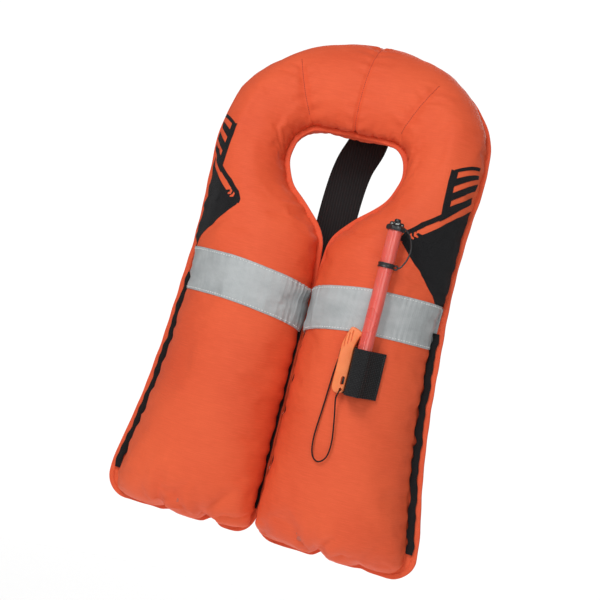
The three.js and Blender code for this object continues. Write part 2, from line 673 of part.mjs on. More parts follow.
// The strap on the plug: a sewn tail, round the plug's bar, then straight through the loop and the adjuster.
const PLUG_STRAP_ROUTE = [
  [56, 88.3], [36, 88.8], [26.6, 88.4], [24.2, 85], [26.6, 81.6], [36, 79.8], [50, 79.2], [70, 79], [100, 79],
  [132, 79],
];

// The adjuster holds the belt's end on one bar, and the plug's strap slides through its tunnel.
function beltAdjuster() {
  const high = BELT.z + 23;
  const low = BELT.z - 23;
  const tunnel = block([98, 75.8, low], [109, 89.6, high]);
  const strapWay = block([97, 77.5, BELT.z - 20], [110, 80.5, BELT.z + 20]);
  const sides = [low, high - 3].map((z) => block([108, 84, z], [118.4, 87.6, z + 3]));
  const bar = block([116.6, 84.9, low], [118.4, 86.7, high]);
  const weight = block([99.5, 82.4, BELT.z - 19], [107.5, 90, BELT.z + 19]);
  return cut(join(tunnel, ...sides, bar), strapWay, weight);
}

// A webbing loop on the back of a lobe that the belt passes through. Its profile lies in the YZ plane.
function beltLoop(low, high, fabricY, outY) {
  const foot = fabricY + FIT_GAP;
  const web = 1.5;
  const reach = 23;
  const profile = [
    [foot, reach + 11], [foot + web, reach + 11], [foot + web, reach + web], [outY, reach + web],
    [outY, -reach - web], [foot + web, -reach - web], [foot + web, -reach - 11], [foot, -reach - 11],
    [foot, -reach], [outY - web, -reach], [outY - web, reach], [foot, reach],
  ];
  const geometry = new THREE.ExtrudeGeometry(polygon(profile), { depth: high - low, bevelEnabled: false });
  const toWorld = new THREE.Matrix4().set(0, 0, 1, low, 1, 0, 0, 0, 0, 1, 0, BELT.z, 0, 0, 0, 1);
  return geometry.applyMatrix4(toWorld);
}

add('waist_belt', beltBand(bandOutline(BELT_ROUTE, BELT.thickness, 96), BELT.width), 'black_webbing');
add('buckle_socket', buckleSocket(), 'black_plastic');
add('buckle_plug', bucklePlug(), 'black_plastic');
add('plug_strap', beltBand(bandOutline(PLUG_STRAP_ROUTE, 1.6, 40), BELT.width), 'black_webbing');
add('belt_adjuster', beltAdjuster(), 'black_plastic');
add('belt_loop_left', beltLoop(-96, -74, 67, 92), 'black_webbing');
add('belt_loop_right', beltLoop(70, 92, 67, 84), 'black_webbing');

// ---------------------------------------------------------------- gas inflator on the back of the left lobe

const FIRING = { x: -76, y: 80 };
const INFLATOR = { left: -104, right: -62, near: 67.2, far: 92, foot: -240, top: -188 };
const LEVER = { pivotX: -78, pivotZ: -229, hub: 5, offset: 3, pinRadius: 1.5, low: 77, high: 83 };

function atFiring(geometry) {
  return geometry.translate(FIRING.x, FIRING.y, 0);
}

function inflatorStem() {
  const tube = [[2.5, 53], [13, 53], [13, 54.8], [5.7, 54.8], [5.7, 99], [2.5, 99], [2.5, 53]];
  return alongY(turned(tube), STEM.x, STEM.z);
}

function inflatorBody() {
  const outline = new THREE.Shape();
  const corner = 6;
  const { left, right, foot, top } = INFLATOR;
  outline.moveTo(left + corner, foot);
  outline.lineTo(right - corner, foot);
  outline.absarc(right - corner, foot + corner, corner, -Math.PI / 2, 0);
  outline.lineTo(right, top - corner);
  outline.absarc(right - corner, top - corner, corner, 0, Math.PI / 2);
  outline.lineTo(left + corner, top);
  outline.absarc(left + corner, top - corner, corner, Math.PI / 2, Math.PI);
  outline.lineTo(left, foot + corner);
  outline.absarc(left + corner, foot + corner, corner, Math.PI, 1.5 * Math.PI);
  const casing = plate(outline, INFLATOR.near, INFLATOR.far, 4);
  const stemHole = alongY(rod(6, 60, 100), STEM.x, STEM.z);
  const neckSocket = atFiring(rod(6.5, -199, -180));
  const pinWay = atFiring(rod(2, -215, -198, 16));
  const springWay = atFiring(rod(4.4, -226, -206));
  const leverSlot = block([-87, LEVER.low - 0.6, foot + 4], [right + 1, LEVER.high + 0.6, -220.5]);
  const leverMouth = block([-75.5, LEVER.low - 0.6, foot - 1], [right + 1, LEVER.high + 0.6, foot + 6]);
  const leverRelief = block([-71, LEVER.low - 0.6, foot + 4], [right + 1, LEVER.high + 0.6, -209]);
  const leverPinHole = alongY(rod(1.6, 60, 100, 16), LEVER.pivotX, LEVER.pivotZ);
  return cut(casing, stemHole, neckSocket, pinWay, springWay, leverSlot, leverMouth, leverRelief, leverPinHole);
}

// A hollow steel cylinder with its neck down. The small hole stands for the pierced seal.
function gasCylinder() {
  return atFiring(turned([
    [1.2, -197.5], [6, -197.5], [6, -186.5], [7.5, -183], [11.5, -176], [12, -172], [12, -96], [10.4, -88],
    [6, -82.6], [0, -81], [0, -83.5], [5, -85], [8.6, -90], [10, -97], [10, -171], [9.4, -175], [5, -183],
    [3.6, -187], [3.6, -194], [1.2, -194], [1.2, -197.5],
  ], 24));
}

function firingPin() {
  return atFiring(turned([
    [0, -223.2], [3.9, -223.2], [3.9, -221], [1.6, -221], [1.6, -203], [0, -201],
  ], 16));
}

function manualLever() {
  const { pivotX, pivotZ, hub, offset, low, high } = LEVER;
  const cam = alongY(rod(hub, low, high, 24), pivotX + offset, pivotZ);
  const arm = plate(polygon([
    [pivotX + 2, pivotZ + 1.4], [pivotX + 4.4, pivotZ - 0.4], [-64, -241], [-61, -247], [-58.5, -276], [-60.5, -282],
    [-66.5, -280], [-66, -249], [-69, -243.4], [pivotX + 1, pivotZ - 4],
  ]), low, high);
  return cut(join(cam, arm), alongY(rod(1.6, low - 1, high + 1, 16), pivotX, pivotZ));
}

function leverPin() {
  return alongY(rod(LEVER.pinRadius, INFLATOR.near + 0.5, INFLATOR.far - 0.5, 16), LEVER.pivotX, LEVER.pivotZ);
}

function stemNut() {
  return alongY(cut(rod(9.5, 92.4, 98, 6), rod(6, 90, 100)), STEM.x, STEM.z);
}

// The cup that screws under the body and keeps the water-sensing cartridge dry.
const SENSOR = { x: -86, y: 79.6, top: -240.4, foot: -266, radius: 10.6 };

function sensorCap() {
  const cup = turned([
    [0, SENSOR.foot], [SENSOR.radius - 1.5, SENSOR.foot], [SENSOR.radius, SENSOR.foot + 1.5],
    [SENSOR.radius, SENSOR.top], [SENSOR.radius - 1.8, SENSOR.top], [SENSOR.radius - 1.8, SENSOR.foot + 2.5],
    [0, SENSOR.foot + 2.5],
  ], 24);
  const slots = spread(0, 2, 2).map((k) => block([-20, -1.2, SENSOR.foot + 6], [20, 1.2, SENSOR.foot + 15])
    .rotateZ(k * Math.PI / 3));
  return cut(cup, ...slots).translate(SENSOR.x, SENSOR.y, 0);
}

function sensorCartridge() {
  const spool = turned([
    [0, -262.8], [8, -262.8], [8, -260.5], [5, -260.5], [5, -245], [8, -245], [8, -241], [0, -241],
  ], 16);
  return spool.translate(SENSOR.x, SENSOR.y, 0);
}

add('inflator_stem', inflatorStem(), 'black_plastic');
add('inflator_body', inflatorBody(), 'black_plastic');
add('stem_nut', stemNut(), 'black_plastic');
add('gas_cylinder', gasCylinder(), 'cylinder_paint');
add('firing_pin', firingPin(), 'steel');
add('firing_spring', coil(3.2, 0.45, -220.6, -206.5, 5).translate(FIRING.x, FIRING.y, 0), 'steel');
add('manual_lever', manualLever(), 'whistle_orange');
add('lever_pin', leverPin(), 'steel');
add('sensor_cap', sensorCap(), 'clear_plastic');
add('sensor_cartridge', sensorCartridge(), 'clear_plastic');

export default jacket;
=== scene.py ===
# Looks of the inflatable life jacket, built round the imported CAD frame. Lengths are in millimetres until
# new_mesh() turns them into metres. The front faces -Y and +Z is up.
import math

import bmesh
import bpy
import numpy as np
from mathutils import Matrix, Vector, geometry


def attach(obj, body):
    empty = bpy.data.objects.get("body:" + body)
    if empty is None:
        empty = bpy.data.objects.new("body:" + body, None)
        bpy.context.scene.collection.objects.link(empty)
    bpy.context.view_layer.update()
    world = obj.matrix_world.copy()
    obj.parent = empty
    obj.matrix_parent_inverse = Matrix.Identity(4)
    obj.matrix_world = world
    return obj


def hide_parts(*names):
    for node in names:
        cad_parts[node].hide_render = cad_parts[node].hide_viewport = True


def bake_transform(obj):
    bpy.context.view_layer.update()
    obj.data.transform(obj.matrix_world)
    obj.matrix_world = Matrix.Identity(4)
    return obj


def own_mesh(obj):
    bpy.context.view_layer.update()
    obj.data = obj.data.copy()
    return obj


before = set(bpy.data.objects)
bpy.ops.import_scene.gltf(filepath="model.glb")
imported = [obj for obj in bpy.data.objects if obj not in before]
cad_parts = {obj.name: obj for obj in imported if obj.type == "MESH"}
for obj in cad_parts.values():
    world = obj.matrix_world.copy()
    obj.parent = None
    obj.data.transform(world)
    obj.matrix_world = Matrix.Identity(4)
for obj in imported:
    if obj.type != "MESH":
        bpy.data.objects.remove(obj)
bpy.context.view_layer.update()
MM = 0.001

# ---------------------------------------------------------------- driving sizes, as in part.mjs

FABRIC = 1.0
FOOT_Z = -424
FOOT_CORNER = 26
FOOT_MARGIN = 5
FOOT_ROUNDING = 58
EDGE_MARGIN = 5.5
STRIP_MARGIN = 14.5
STRIP_MARGIN_TOP = -95
STRIP_MARGIN_BLEND = 60
LEAN_START = -34
LEAN = 0.36
FOOT_HANG = 6.0
BINDING_LEG = 5.2
TAPE_WIDTH = 50.0
STRIP_WIDTH = 8.4
CLOTH_FRAMES = 16
CLOTH_LIMIT = 2.6

# outer x, outer z, inner x, inner z, half depth, from the foot of the right lobe to the top of the collar
STATIONS = np.array([
    (190, -424, 1.5, -424, 66), (189, -380, 1.5, -380, 66), (176, -310, 1.5, -310, 66),
    (167, -240, 1.5, -240, 65), (162, -170, 1.5, -170, 64), (159, -125, 1.5, -105, 62),
    (158, -98, 7, -66, 59), (158, -62, 30, -38, 53), (160, -15, 56, -14, 48), (163, 35, 69, 14, 44),
    (155.5, 87, 67, 39, 42), (128.5, 126, 54, 55, 41), (90, 156, 38, 58.5, 41), (45, 171.5, 18, 60, 42),
    (0, 175.5, 0, 60, 42),
], float)
TOP = len(STATIONS) - 1
LAST = 2 * TOP
ROUND_TRIP = np.vstack([STATIONS[:-1] * [-1, 1, -1, 1, 1], STATIONS[::-1]])
FRONT, BACK = -1, 1

# ---------------------------------------------------------------- camera

# The camera that was fitted to the outline: its place, what it looks at, its roll and its lens.
CAMERA = {
    "azimuth": 14.1, "elevation": -1.4, "distance": 1355, "target": (0, 0, -99), "roll": -14.0,
    "lens": 69.36, "shift_x": -0.0333, "shift_y": -0.0583,
}


def make_camera():
    azimuth = math.radians(CAMERA["azimuth"])
    elevation = math.radians(CAMERA["elevation"])
    back = Vector((math.sin(azimuth) * math.cos(elevation), -math.cos(azimuth) * math.cos(elevation),
                   math.sin(elevation)))
    right = back.cross(Vector((0, 0, 1))).normalized() * -1
    up = back.cross(right).normalized()
    turn = math.radians(CAMERA["roll"])
    right, up = (right * math.cos(turn) - up * math.sin(turn), right * math.sin(turn) + up * math.cos(turn))
    place_at = Vector(CAMERA["target"]) * MM + back * CAMERA["distance"] * MM
    data = bpy.data.cameras.new("camera")
    data.sensor_width = 36
    data.lens = CAMERA["lens"]
    data.shift_x = CAMERA["shift_x"]
    data.shift_y = CAMERA["shift_y"]
    camera = bpy.data.objects.new("camera", data)
    camera.matrix_world = Matrix.Translation(place_at) @ Matrix((right, up, back)).transposed().to_4x4()
    bpy.context.scene.collection.objects.link(camera)
    bpy.context.scene.camera = camera


make_camera()

# ---------------------------------------------------------------- mesh helpers


def new_mesh(name, points, faces, material=None, smooth=True):
    """An object from points in millimetres."""
    mesh = bpy.data.meshes.new(name)
    mesh.from_pydata((np.asarray(points, float) * MM).tolist(), [], faces)
    mesh.validate()
    made = bmesh.new()
    made.from_mesh(mesh)
    bmesh.ops.recalc_face_normals(made, faces=made.faces)
    made.to_mesh(mesh)
    made.free()
    if smooth:
        mesh.polygons.foreach_set("use_smooth", [True] * len(mesh.polygons))
    piece = bpy.data.objects.new(name, mesh)
    bpy.context.scene.collection.objects.link(piece)
    if material:
        mesh.materials.append(material)
    return piece


def grid_faces(rows, columns, offset=0, loop_rows=False, loop_columns=False):
    faces = []
    for i in range(rows if loop_rows else rows - 1):
        for j in range(columns if loop_columns else columns - 1):
            a = offset + i * columns + j
            b = offset + i * columns + (j + 1) % columns
            c = offset + ((i + 1) % rows) * columns + (j + 1) % columns
            d = offset + ((i + 1) % rows) * columns + j
            faces.append((a, b, c, d))
    return faces


def shell(name, outside, inside, material):
    """A thin closed piece between two grids of points with the same rows and columns."""
    rows, columns = outside.shape[:2]
    count = rows * columns
    faces = grid_faces(rows, columns)
    faces += [tuple(reversed(f)) for f in grid_faces(rows, columns, count)]
    edges = []
    for i in range(rows - 1):
        edges.append((i * columns, (i + 1) * columns))
        edges.append(((i + 2) * columns - 1, (i + 1) * columns - 1))
    for j in range(columns - 1):
        edges.append((j + 1, j))
        edges.append(((rows - 1) * columns + j, (rows - 1) * columns + j + 1))
    faces += [(a, b, b + count, a + count) for a, b in edges]
    return new_mesh(name, np.vstack([outside.reshape(-1, 3), inside.reshape(-1, 3)]), faces, material)


def sweep(name, path, section_points, material, up=(0, 0, 1)):
    """A section of (side, up) pairs, swept along a path of points. up fixes the section's upright."""
    path = np.asarray(path, float)
    along = np.gradient(path, axis=0)
    along /= np.linalg.norm(along, axis=1)[:, None]
    up = np.broadcast_to(np.asarray(up, float), path.shape)
    side = np.cross(along, up)
    side /= np.linalg.norm(side, axis=1)[:, None]
    upright = np.cross(side, along)
    section_points = np.asarray(section_points, float)
    rings = (path[:, None] + side[:, None] * section_points[None, :, :1]
             + upright[:, None] * section_points[None, :, 1:])
    rows, columns = rings.shape[:2]
    faces = grid_faces(rows, columns, 0, False, True)
    faces += [tuple(reversed(range(columns))), tuple(range((rows - 1) * columns, rows * columns))]
    return new_mesh(name, rings.reshape(-1, 3), faces, material)


def tube_frames(path):
    """A side and an upright for each point of a round tube's path, without twist."""
    along = np.gradient(path, axis=0)
    along /= np.linalg.norm(along, axis=1)[:, None]
    side = np.cross(along[0], (0.31, 0.77, 0.55))
    sides = []
    for direction in along:
        side = side - direction * side.dot(direction)
        side /= np.linalg.norm(side)
        sides.append(side.copy())
    sides = np.array(sides)
    return sides, np.cross(along, sides)


def round_tube(name, path, radius, material, sides=14, twist=0.0, strands=0, groove=0.0):
    """A round cord. strands and groove give a laid or braided surface, in real geometry."""
    path = np.asarray(path, float)
    side, upright = tube_frames(path)
    length = np.concatenate([[0], np.cumsum(np.linalg.norm(np.diff(path, axis=0), axis=1))])
    angle = np.linspace(0, 2 * np.pi, sides, endpoint=False)[None, :]
    lay = radius - groove * (0.5 + 0.5 * np.cos(strands * angle + twist * length[:, None]))
    rings = (path[:, None] + side[:, None] * (lay * np.cos(angle))[..., None]
             + upright[:, None] * (lay * np.sin(angle))[..., None])
    rows = len(path)
    faces = grid_faces(rows, sides, 0, False, True)
    faces += [tuple(reversed(range(sides))), tuple(range((rows - 1) * sides, rows * sides))]
    return new_mesh(name, rings.reshape(-1, 3), faces, material)


def smooth_path(points, count):
    """A Catmull-Rom curve through given points, at even steps."""
    p = np.asarray(points, float)
    p = np.vstack([2 * p[0] - p[1], p, 2 * p[-1] - p[-2]])
    fine = []
    for i in range(1, len(p) - 2):
        w = np.linspace(0, 1, 40, endpoint=False)[:, None]
        fine.append(0.5 * (2 * p[i] + (p[i + 1] - p[i - 1]) * w
                           + (2 * p[i - 1] - 5 * p[i] + 4 * p[i + 1] - p[i + 2]) * w ** 2
                           + (3 * p[i] - p[i - 1] - 3 * p[i + 1] + p[i + 2]) * w ** 3))
    fine = np.vstack(fine + [p[-2][None]])
    length = np.concatenate([[0], np.cumsum(np.linalg.norm(np.diff(fine, axis=0), axis=1))])
    even = np.linspace(0, length[-1], count)
    return np.stack([np.interp(even, length, fine[:, k]) for k in range(3)], 1)


def turned(name, profile, material, segments=64, where=Matrix.Identity(4), lobes=0, lobe_depth=0.0):
    """A solid of revolution about +Z from (radius, z) pairs, closed on the axis or on itself."""
    profile = np.asarray(profile, float)
    angle = np.linspace(0, 2 * np.pi, segments, endpoint=False)
    wave = 1 + lobe_depth * np.cos(lobes * angle) if lobes else np.ones(segments)
    rings = np.stack([
        profile[:, None, 0] * np.cos(angle) * wave, profile[:, None, 0] * np.sin(angle) * wave,
        np.broadcast_to(profile[:, None, 1], (len(profile), segments)),
    ], -1)
    points = rings.reshape(-1, 3)
    faces = grid_faces(len(profile), segments, 0, False, True)
    piece = new_mesh(name, points, faces, material)
    made = bmesh.new()
    made.from_mesh(piece.data)
    bmesh.ops.remove_doubles(made, verts=made.verts, dist=1e-6)
    bmesh.ops.recalc_face_normals(made, faces=made.faces)
    made.to_mesh(piece.data)
    made.free()
    piece.data.transform(where)
    return piece


def rounded(profile, radius, steps=4):
    """Rounds the corners of an open or closed list of (a, b) pairs."""
    p = [Vector(q) for q in profile]
    closed = (p[0] - p[-1]).length < 1e-9
    out = [] if closed else [p[0]]
    count = len(p) - 1 if closed else len(p)
    for i in range(0 if closed else 1, count if closed else count - 1):
        before, here, after = p[(i - 1) % count], p[i], p[(i + 1) % count]
        back, on = (before - here), (after - here)
        r = min(radius, 0.45 * back.length, 0.45 * on.length)
        a, b = here + back.normalized() * r, here + on.normalized() * r
        for k in range(steps + 1):
            t = k / steps
            out.append(a * (1 - t) ** 2 + here * 2 * t * (1 - t) + b * t ** 2)
    if closed:
        out.append(out[0])
    else:
        out.append(p[-1])
    return [tuple(q) for q in out]


def apply_modifiers(piece):
    bpy.context.view_layer.update()
    graph = bpy.context.evaluated_depsgraph_get()
    mesh = bpy.data.meshes.new_from_object(piece.evaluated_get(graph))
    old = piece.data
    piece.modifiers.clear()
    piece.data = mesh
    bpy.data.meshes.remove(old)
    return piece


def refined(name, node, material, bevel=0.5, segments=3, angle=32):
    """A copy of a CAD node with rounded edges and smooth faces."""
    piece = bpy.data.objects.new(name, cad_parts[node].data.copy())
    piece.data.materials.clear()
    piece.data.materials.append(material)
    bpy.context.scene.collection.objects.link(piece)
    made = bmesh.new()
    made.from_mesh(piece.data)
    bmesh.ops.remove_doubles(made, verts=made.verts, dist=2e-5)
    bmesh.ops.dissolve_limit(made, angle_limit=math.radians(2), verts=made.verts, edges=made.edges)
    made.to_mesh(piece.data)
    made.free()
    rounding = piece.modifiers.new("rounding", "BEVEL")
    rounding.width = bevel * MM
    rounding.segments = segments
    rounding.limit_method = "ANGLE"
    rounding.angle_limit = math.radians(angle)
    rounding.harden_normals = False
    apply_modifiers(piece)
    piece.data.polygons.foreach_set("use_smooth", [True] * len(piece.data.polygons))
    piece.data.set_sharp_from_angle(angle=math.radians(angle))
    return piece


def stand_for(piece, body, slot_name, *nodes):
    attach(piece, body)
    if nodes:
        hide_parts(*nodes)
    return piece


# ---------------------------------------------------------------- materials


class Nodes:
    """A small hand for writing shader trees."""

    def __init__(self, name):
        self.material = bpy.data.materials.new(name)
        self.material.use_nodes = True
        self.tree = self.material.node_tree
        self.shader = self.tree.nodes["Principled BSDF"]
        self.where = self.add("ShaderNodeTexCoord").outputs["Object"]

    def add(self, kind, **settings):
        node = self.tree.nodes.new(kind)
        for key, value in settings.items():
            setattr(node, key, value)
        return node

    def link(self, source, target):
        self.tree.links.new(source, target)

    def stretched(self, scale, turn=(0, 0, 0)):
        mapping = self.add("ShaderNodeMapping")
        mapping.inputs["Scale"].default_value = scale
        mapping.inputs["Rotation"].default_value = turn
        self.link(self.where, mapping.inputs["Vector"])
        return mapping.outputs["Vector"]

    def noise(self, scale, detail=3, roughness=0.5, vector=None, distortion=0.0):
        node = self.add("ShaderNodeTexNoise")
        node.inputs["Scale"].default_value = scale
        node.inputs["Detail"].default_value = detail
        node.inputs["Roughness"].default_value = roughness
        node.inputs["Distortion"].default_value = distortion
        self.link(vector or self.where, node.inputs["Vector"])
        return node.outputs["Fac"]

    def wave(self, scale, direction, distortion=0.0, profile="SIN", vector=None):
        node = self.add("ShaderNodeTexWave", wave_type="BANDS", bands_direction=direction,
                        wave_profile=profile)
        node.inputs["Scale"].default_value = scale
        node.inputs["Distortion"].default_value = distortion
        node.inputs["Detail"].default_value = 1.0
        self.link(vector or self.where, node.inputs["Vector"])
        return node.outputs["Fac"]

    def mix(self, factor, a, b):
        node = self.add("ShaderNodeMix", data_type="RGBA")
        for socket, value in ((node.inputs[6], a), (node.inputs[7], b)):
            if hasattr(value, "is_linked"):
                self.link(value, socket)
            else:
                socket.default_value = (*value, 1)
        self.link(factor, node.inputs[0])
        return node.outputs[2]

    def ramp(self, factor, low, high, out_low=0.0, out_high=1.0):
        node = self.add("ShaderNodeMapRange")
        for key, value in (("From Min", low), ("From Max", high), ("To Min", out_low), ("To Max", out_high)):
            node.inputs[key].default_value = value
        self.link(factor, node.inputs["Value"])
        return node.outputs["Result"]

    def math(self, operation, a, b):
        node = self.add("ShaderNodeMath", operation=operation)
        for socket, value in ((node.inputs[0], a), (node.inputs[1], b)):
            if hasattr(value, "is_linked"):
                self.link(value, socket)
            else:
                socket.default_value = value
        return node.outputs[0]

    def bumps(self, *layers):
        """Each layer is a height and its depth in metres."""
        normal = None
        for height, depth in layers:
            node = self.add("ShaderNodeBump")
            node.inputs["Strength"].default_value = 1.0
            node.inputs["Distance"].default_value = depth
            self.link(height, node.inputs["Height"])
            if normal:
                self.link(normal, node.inputs["Normal"])
            normal = node.outputs["Normal"]
        self.link(normal, self.shader.inputs["Normal"])

    def finish(self, color=None, roughness=None, **values):
        if color is not None:
            if hasattr(color, "is_linked"):
                self.link(color, self.shader.inputs["Base Color"])
            else:
                self.shader.inputs["Base Color"].default_value = (*color, 1)
        if roughness is not None:
            if hasattr(roughness, "is_linked"):
                self.link(roughness, self.shader.inputs["Roughness"])
            else:
                self.shader.inputs["Roughness"].default_value = roughness
        for key, value in values.items():
            self.shader.inputs[key.replace("_", " ")].default_value = value
        return self.material


def coated_fabric(name, color, deep):
    """Coated nylon: fine weft streaks, a ripstop grid and soft mottling."""
    n = Nodes(name)
    mottle = n.noise(9, 4, 0.55)
    weft = n.noise(1, 3, 0.6, n.stretched((70, 70, 1500)))
    warp = n.noise(1, 2, 0.6, n.stretched((1500, 200, 60)))
    tone = n.mix(n.ramp(mottle, 0.3, 0.7), deep, color)
    tone = n.mix(n.ramp(weft, 0.42, 0.75, 0, 0.32), tone, tuple(min(1, c * 1.25 + 0.02) for c in color))
    tone = n.mix(n.ramp(warp, 0.5, 0.8, 0, 0.2), tone, deep)
    threads = n.math("MULTIPLY", n.wave(520, "Z", 0.4), n.wave(520, "X", 0.4))
    n.bumps((threads, 0.00010), (weft, 0.00022), (n.noise(55, 3, 0.6), 0.0004))
    rough = n.ramp(n.math("ADD", mottle, weft), 0.7, 1.3, 0.5, 0.68)
    return n.finish(tone, rough, Specular_IOR_Level=0.22)


def webbing(name, color, pitch=900, across="X", along="Z", rib=260):
    """Woven webbing or elastic: ribs along it, crossed by fine picks; its raised weave is lighter as painted
    highlight, and fuzz gives lighter specks at random.
    """
    n = Nodes(name)
    ribs = n.wave(rib, across, 0.3)
    picks = n.wave(pitch, along, 0.6)
    raised_weave_highlight = n.math("MULTIPLY", ribs, picks)
    fuzz = n.noise(700, 3, 0.7)
    light = tuple(min(1, c * 2.6 + 0.012) for c in color)
    # Painted highlight: the raised weave is mixed towards the lighter tone; the fuzz below adds lighter
    # specks at random.
    tone = n.mix(n.ramp(raised_weave_highlight, 0.1, 0.9, 0, 0.8), color, light)
    tone = n.mix(n.ramp(fuzz, 0.55, 0.8, 0, 0.5), tone, light)
    n.bumps((ribs, 0.0004), (picks, 0.00018), (fuzz, 0.00012))
    return n.finish(tone, n.ramp(fuzz, 0.3, 0.7, 0.6, 0.85), Sheen_Weight=0.04, Sheen_Roughness=0.5,
                    Specular_IOR_Level=0.3)


def knitted_elastic(name):
    """Coarse knitted elastic: rows of raised loops about 1.6 mm apart, painted lighter on top as painted
    highlight.
    """
    n = Nodes(name)
    wales = n.wave(205, "X", 0.5)
    courses = n.wave(170, "Z", 0.5)
    loops = n.math("MULTIPLY", wales, courses)
    fuzz = n.noise(900, 3, 0.7)
    # Painted highlight: the raised loops are mixed from near black towards a lighter grey.
    tone = n.mix(n.ramp(loops, 0.35, 0.95, 0, 1), (0.005, 0.005, 0.006), (0.060, 0.062, 0.063))
    n.bumps((loops, 0.0009), (fuzz, 0.00015))
    return n.finish(tone, n.ramp(fuzz, 0.3, 0.7, 0.6, 0.8), Specular_IOR_Level=0.35)


def moulded(name, color, rough=0.42, grain=900, depth=0.00003, **values):
    """Moulded plastic: a fine spark grain with slight handling wear in its gloss."""
    n = Nodes(name)
    grain_noise = n.noise(grain, 2, 0.5)
    wear = n.noise(60, 4, 0.6)
    tone = n.mix(n.ramp(wear, 0.45, 0.8, 0, 0.5), color, tuple(min(1, c * 1.35 + 0.01) for c in color))
    n.bumps((grain_noise, depth), (wear, 0.00005))
    return n.finish(tone, n.ramp(wear, 0.3, 0.75, rough - 0.08, rough + 0.12), **values)


def retro_tape(name):
    """Silver retro-reflective tape: glass beads, faint cell lines and grey handling marks."""
    n = Nodes(name)
    beads = n.add("ShaderNodeTexVoronoi")
    beads.inputs["Scale"].default_value = 2600
    n.link(n.where, beads.inputs["Vector"])
    smudge = n.noise(30, 5, 0.65, n.stretched((1, 1, 2.2)))
    cells = n.math("MULTIPLY", n.wave(150, "DIAGONAL", 0.1, "TRI"), n.wave(150, "X", 0.1, "TRI"))
    tone = n.mix(n.ramp(smudge, 0.3, 0.72), (0.37, 0.395, 0.402), (0.48, 0.505, 0.51))
    tone = n.mix(n.ramp(cells, 0.5, 0.9, 0, 0.14), tone, (0.62, 0.64, 0.64))
    n.bumps((beads.outputs["Distance"], 0.00005), (cells, 0.00005), (n.noise(120, 3, 0.6), 0.00035))
    return n.finish(tone, n.ramp(smudge, 0.3, 0.7, 0.42, 0.56), Metallic=0.12, Specular_IOR_Level=0.5)


def brushed(name, color, rough):
    n = Nodes(name)
    lines = n.noise(1, 3, 0.7, n.stretched((60, 60, 2600)))
    n.bumps((lines, 0.00004),)
    tone = n.mix(n.ramp(lines, 0.3, 0.7), tuple(c * 0.8 for c in color), color)
    return n.finish(tone, n.ramp(lines, 0.3, 0.7, rough, rough + 0.15), Metallic=1.0)


def clear_red(name):
    """Flexible translucent tube: light goes a little way in, under a smooth glossy skin."""
    n = Nodes(name)
    haze = n.noise(40, 3, 0.5)
    tone = n.mix(n.ramp(haze, 0.3, 0.7), (0.84, 0.105, 0.080), (0.88, 0.155, 0.12))
    n.bumps((n.noise(160, 2, 0.5), 0.00006),)
    return n.finish(tone, n.ramp(haze, 0.3, 0.7, 0.26, 0.34), Transmission_Weight=0.12, IOR=1.45,
                    Subsurface_Weight=0.3, Subsurface_Scale=0.004, Coat_Weight=0.45, Coat_Roughness=0.03)


ORANGE = (0.82, 0.122, 0.043)
ORANGE_DEEP = (0.72, 0.088, 0.030)
mat_fabric = coated_fabric("orange_fabric", ORANGE, ORANGE_DEEP)
mat_binding = coated_fabric("edge_tape", (0.81, 0.112, 0.040), (0.70, 0.080, 0.028))
mat_lining = moulded("bladder_film", (0.55, 0.09, 0.04), 0.4)
mat_tape = retro_tape("reflective_tape")
mat_panel = webbing("black_panel_fabric", (0.012, 0.012, 0.014), 1400, "X", "Z", 1400)
mat_hook = webbing("hook_strip", (0.006, 0.006, 0.007), 700, "X", "Z", 700)
mat_web = webbing("webbing", (0.006, 0.007, 0.008), 260, "X", "Z", 92)
mat_belt = webbing("belt_webbing", (0.006, 0.007, 0.008), 260, "Z", "X", 92)
mat_elastic = knitted_elastic("elastic")
mat_cord = webbing("cord_braid", (0.010, 0.010, 0.011), 1500, "X", "Z", 1500)
mat_thread = moulded("orange_thread", (0.72, 0.12, 0.05), 0.8, Specular_IOR_Level=0.1)
mat_bright_thread = moulded("pale_thread", (0.35, 0.35, 0.35), 0.7)
# Painted shade: this seam thread is much darker than the fabric, standing for the shade in the collar's seam
# grooves.
mat_seam_thread_painted_shade = moulded("seam_thread", (0.42, 0.045, 0.020), 0.7)
mat_grey_thread = moulded("grey_thread", (0.66, 0.68, 0.68), 0.6)
mat_black_thread = moulded("black_thread", (0.035, 0.035, 0.035), 0.7)
mat_black = moulded("black_plastic", (0.014, 0.014, 0.015), 0.36)
mat_clear = moulded("pale_plastic", (0.62, 0.64, 0.60), 0.3, Transmission_Weight=0.25)
mat_whistle = moulded("orange_plastic", (0.88, 0.23, 0.075), 0.34, Subsurface_Weight=0.15,
                      Subsurface_Scale=0.003)
mat_tube = clear_red("red_tube")
mat_steel = brushed("steel", (0.62, 0.63, 0.64), 0.22)
mat_cylinder = brushed("plated_steel", (0.46, 0.48, 0.50), 0.3)

# ---------------------------------------------------------------- the inflated surface


def stations(s):
    """The jacket's edges and half depth at station numbers s, from the left foot to the right foot."""
    s = np.asarray(s, float)
    i = np.clip(np.floor(s).astype(int), 0, LAST - 1)
    w = (s - i)[:, None]

    def at(k):
        row = ROUND_TRIP[np.clip(k, 0, LAST)].copy()
        row[k < 0] = 2 * ROUND_TRIP[0] - ROUND_TRIP[1]
        row[k > LAST] = 2 * ROUND_TRIP[LAST] - ROUND_TRIP[LAST - 1]
        return row

    a, b, c, d = at(i - 1), at(i), at(i + 1), at(i + 2)
    return 0.5 * (2 * b + (c - a) * w + (2 * a - 5 * b + 4 * c - d) * w ** 2
                  + (3 * b - a - 3 * c + d) * w ** 3)


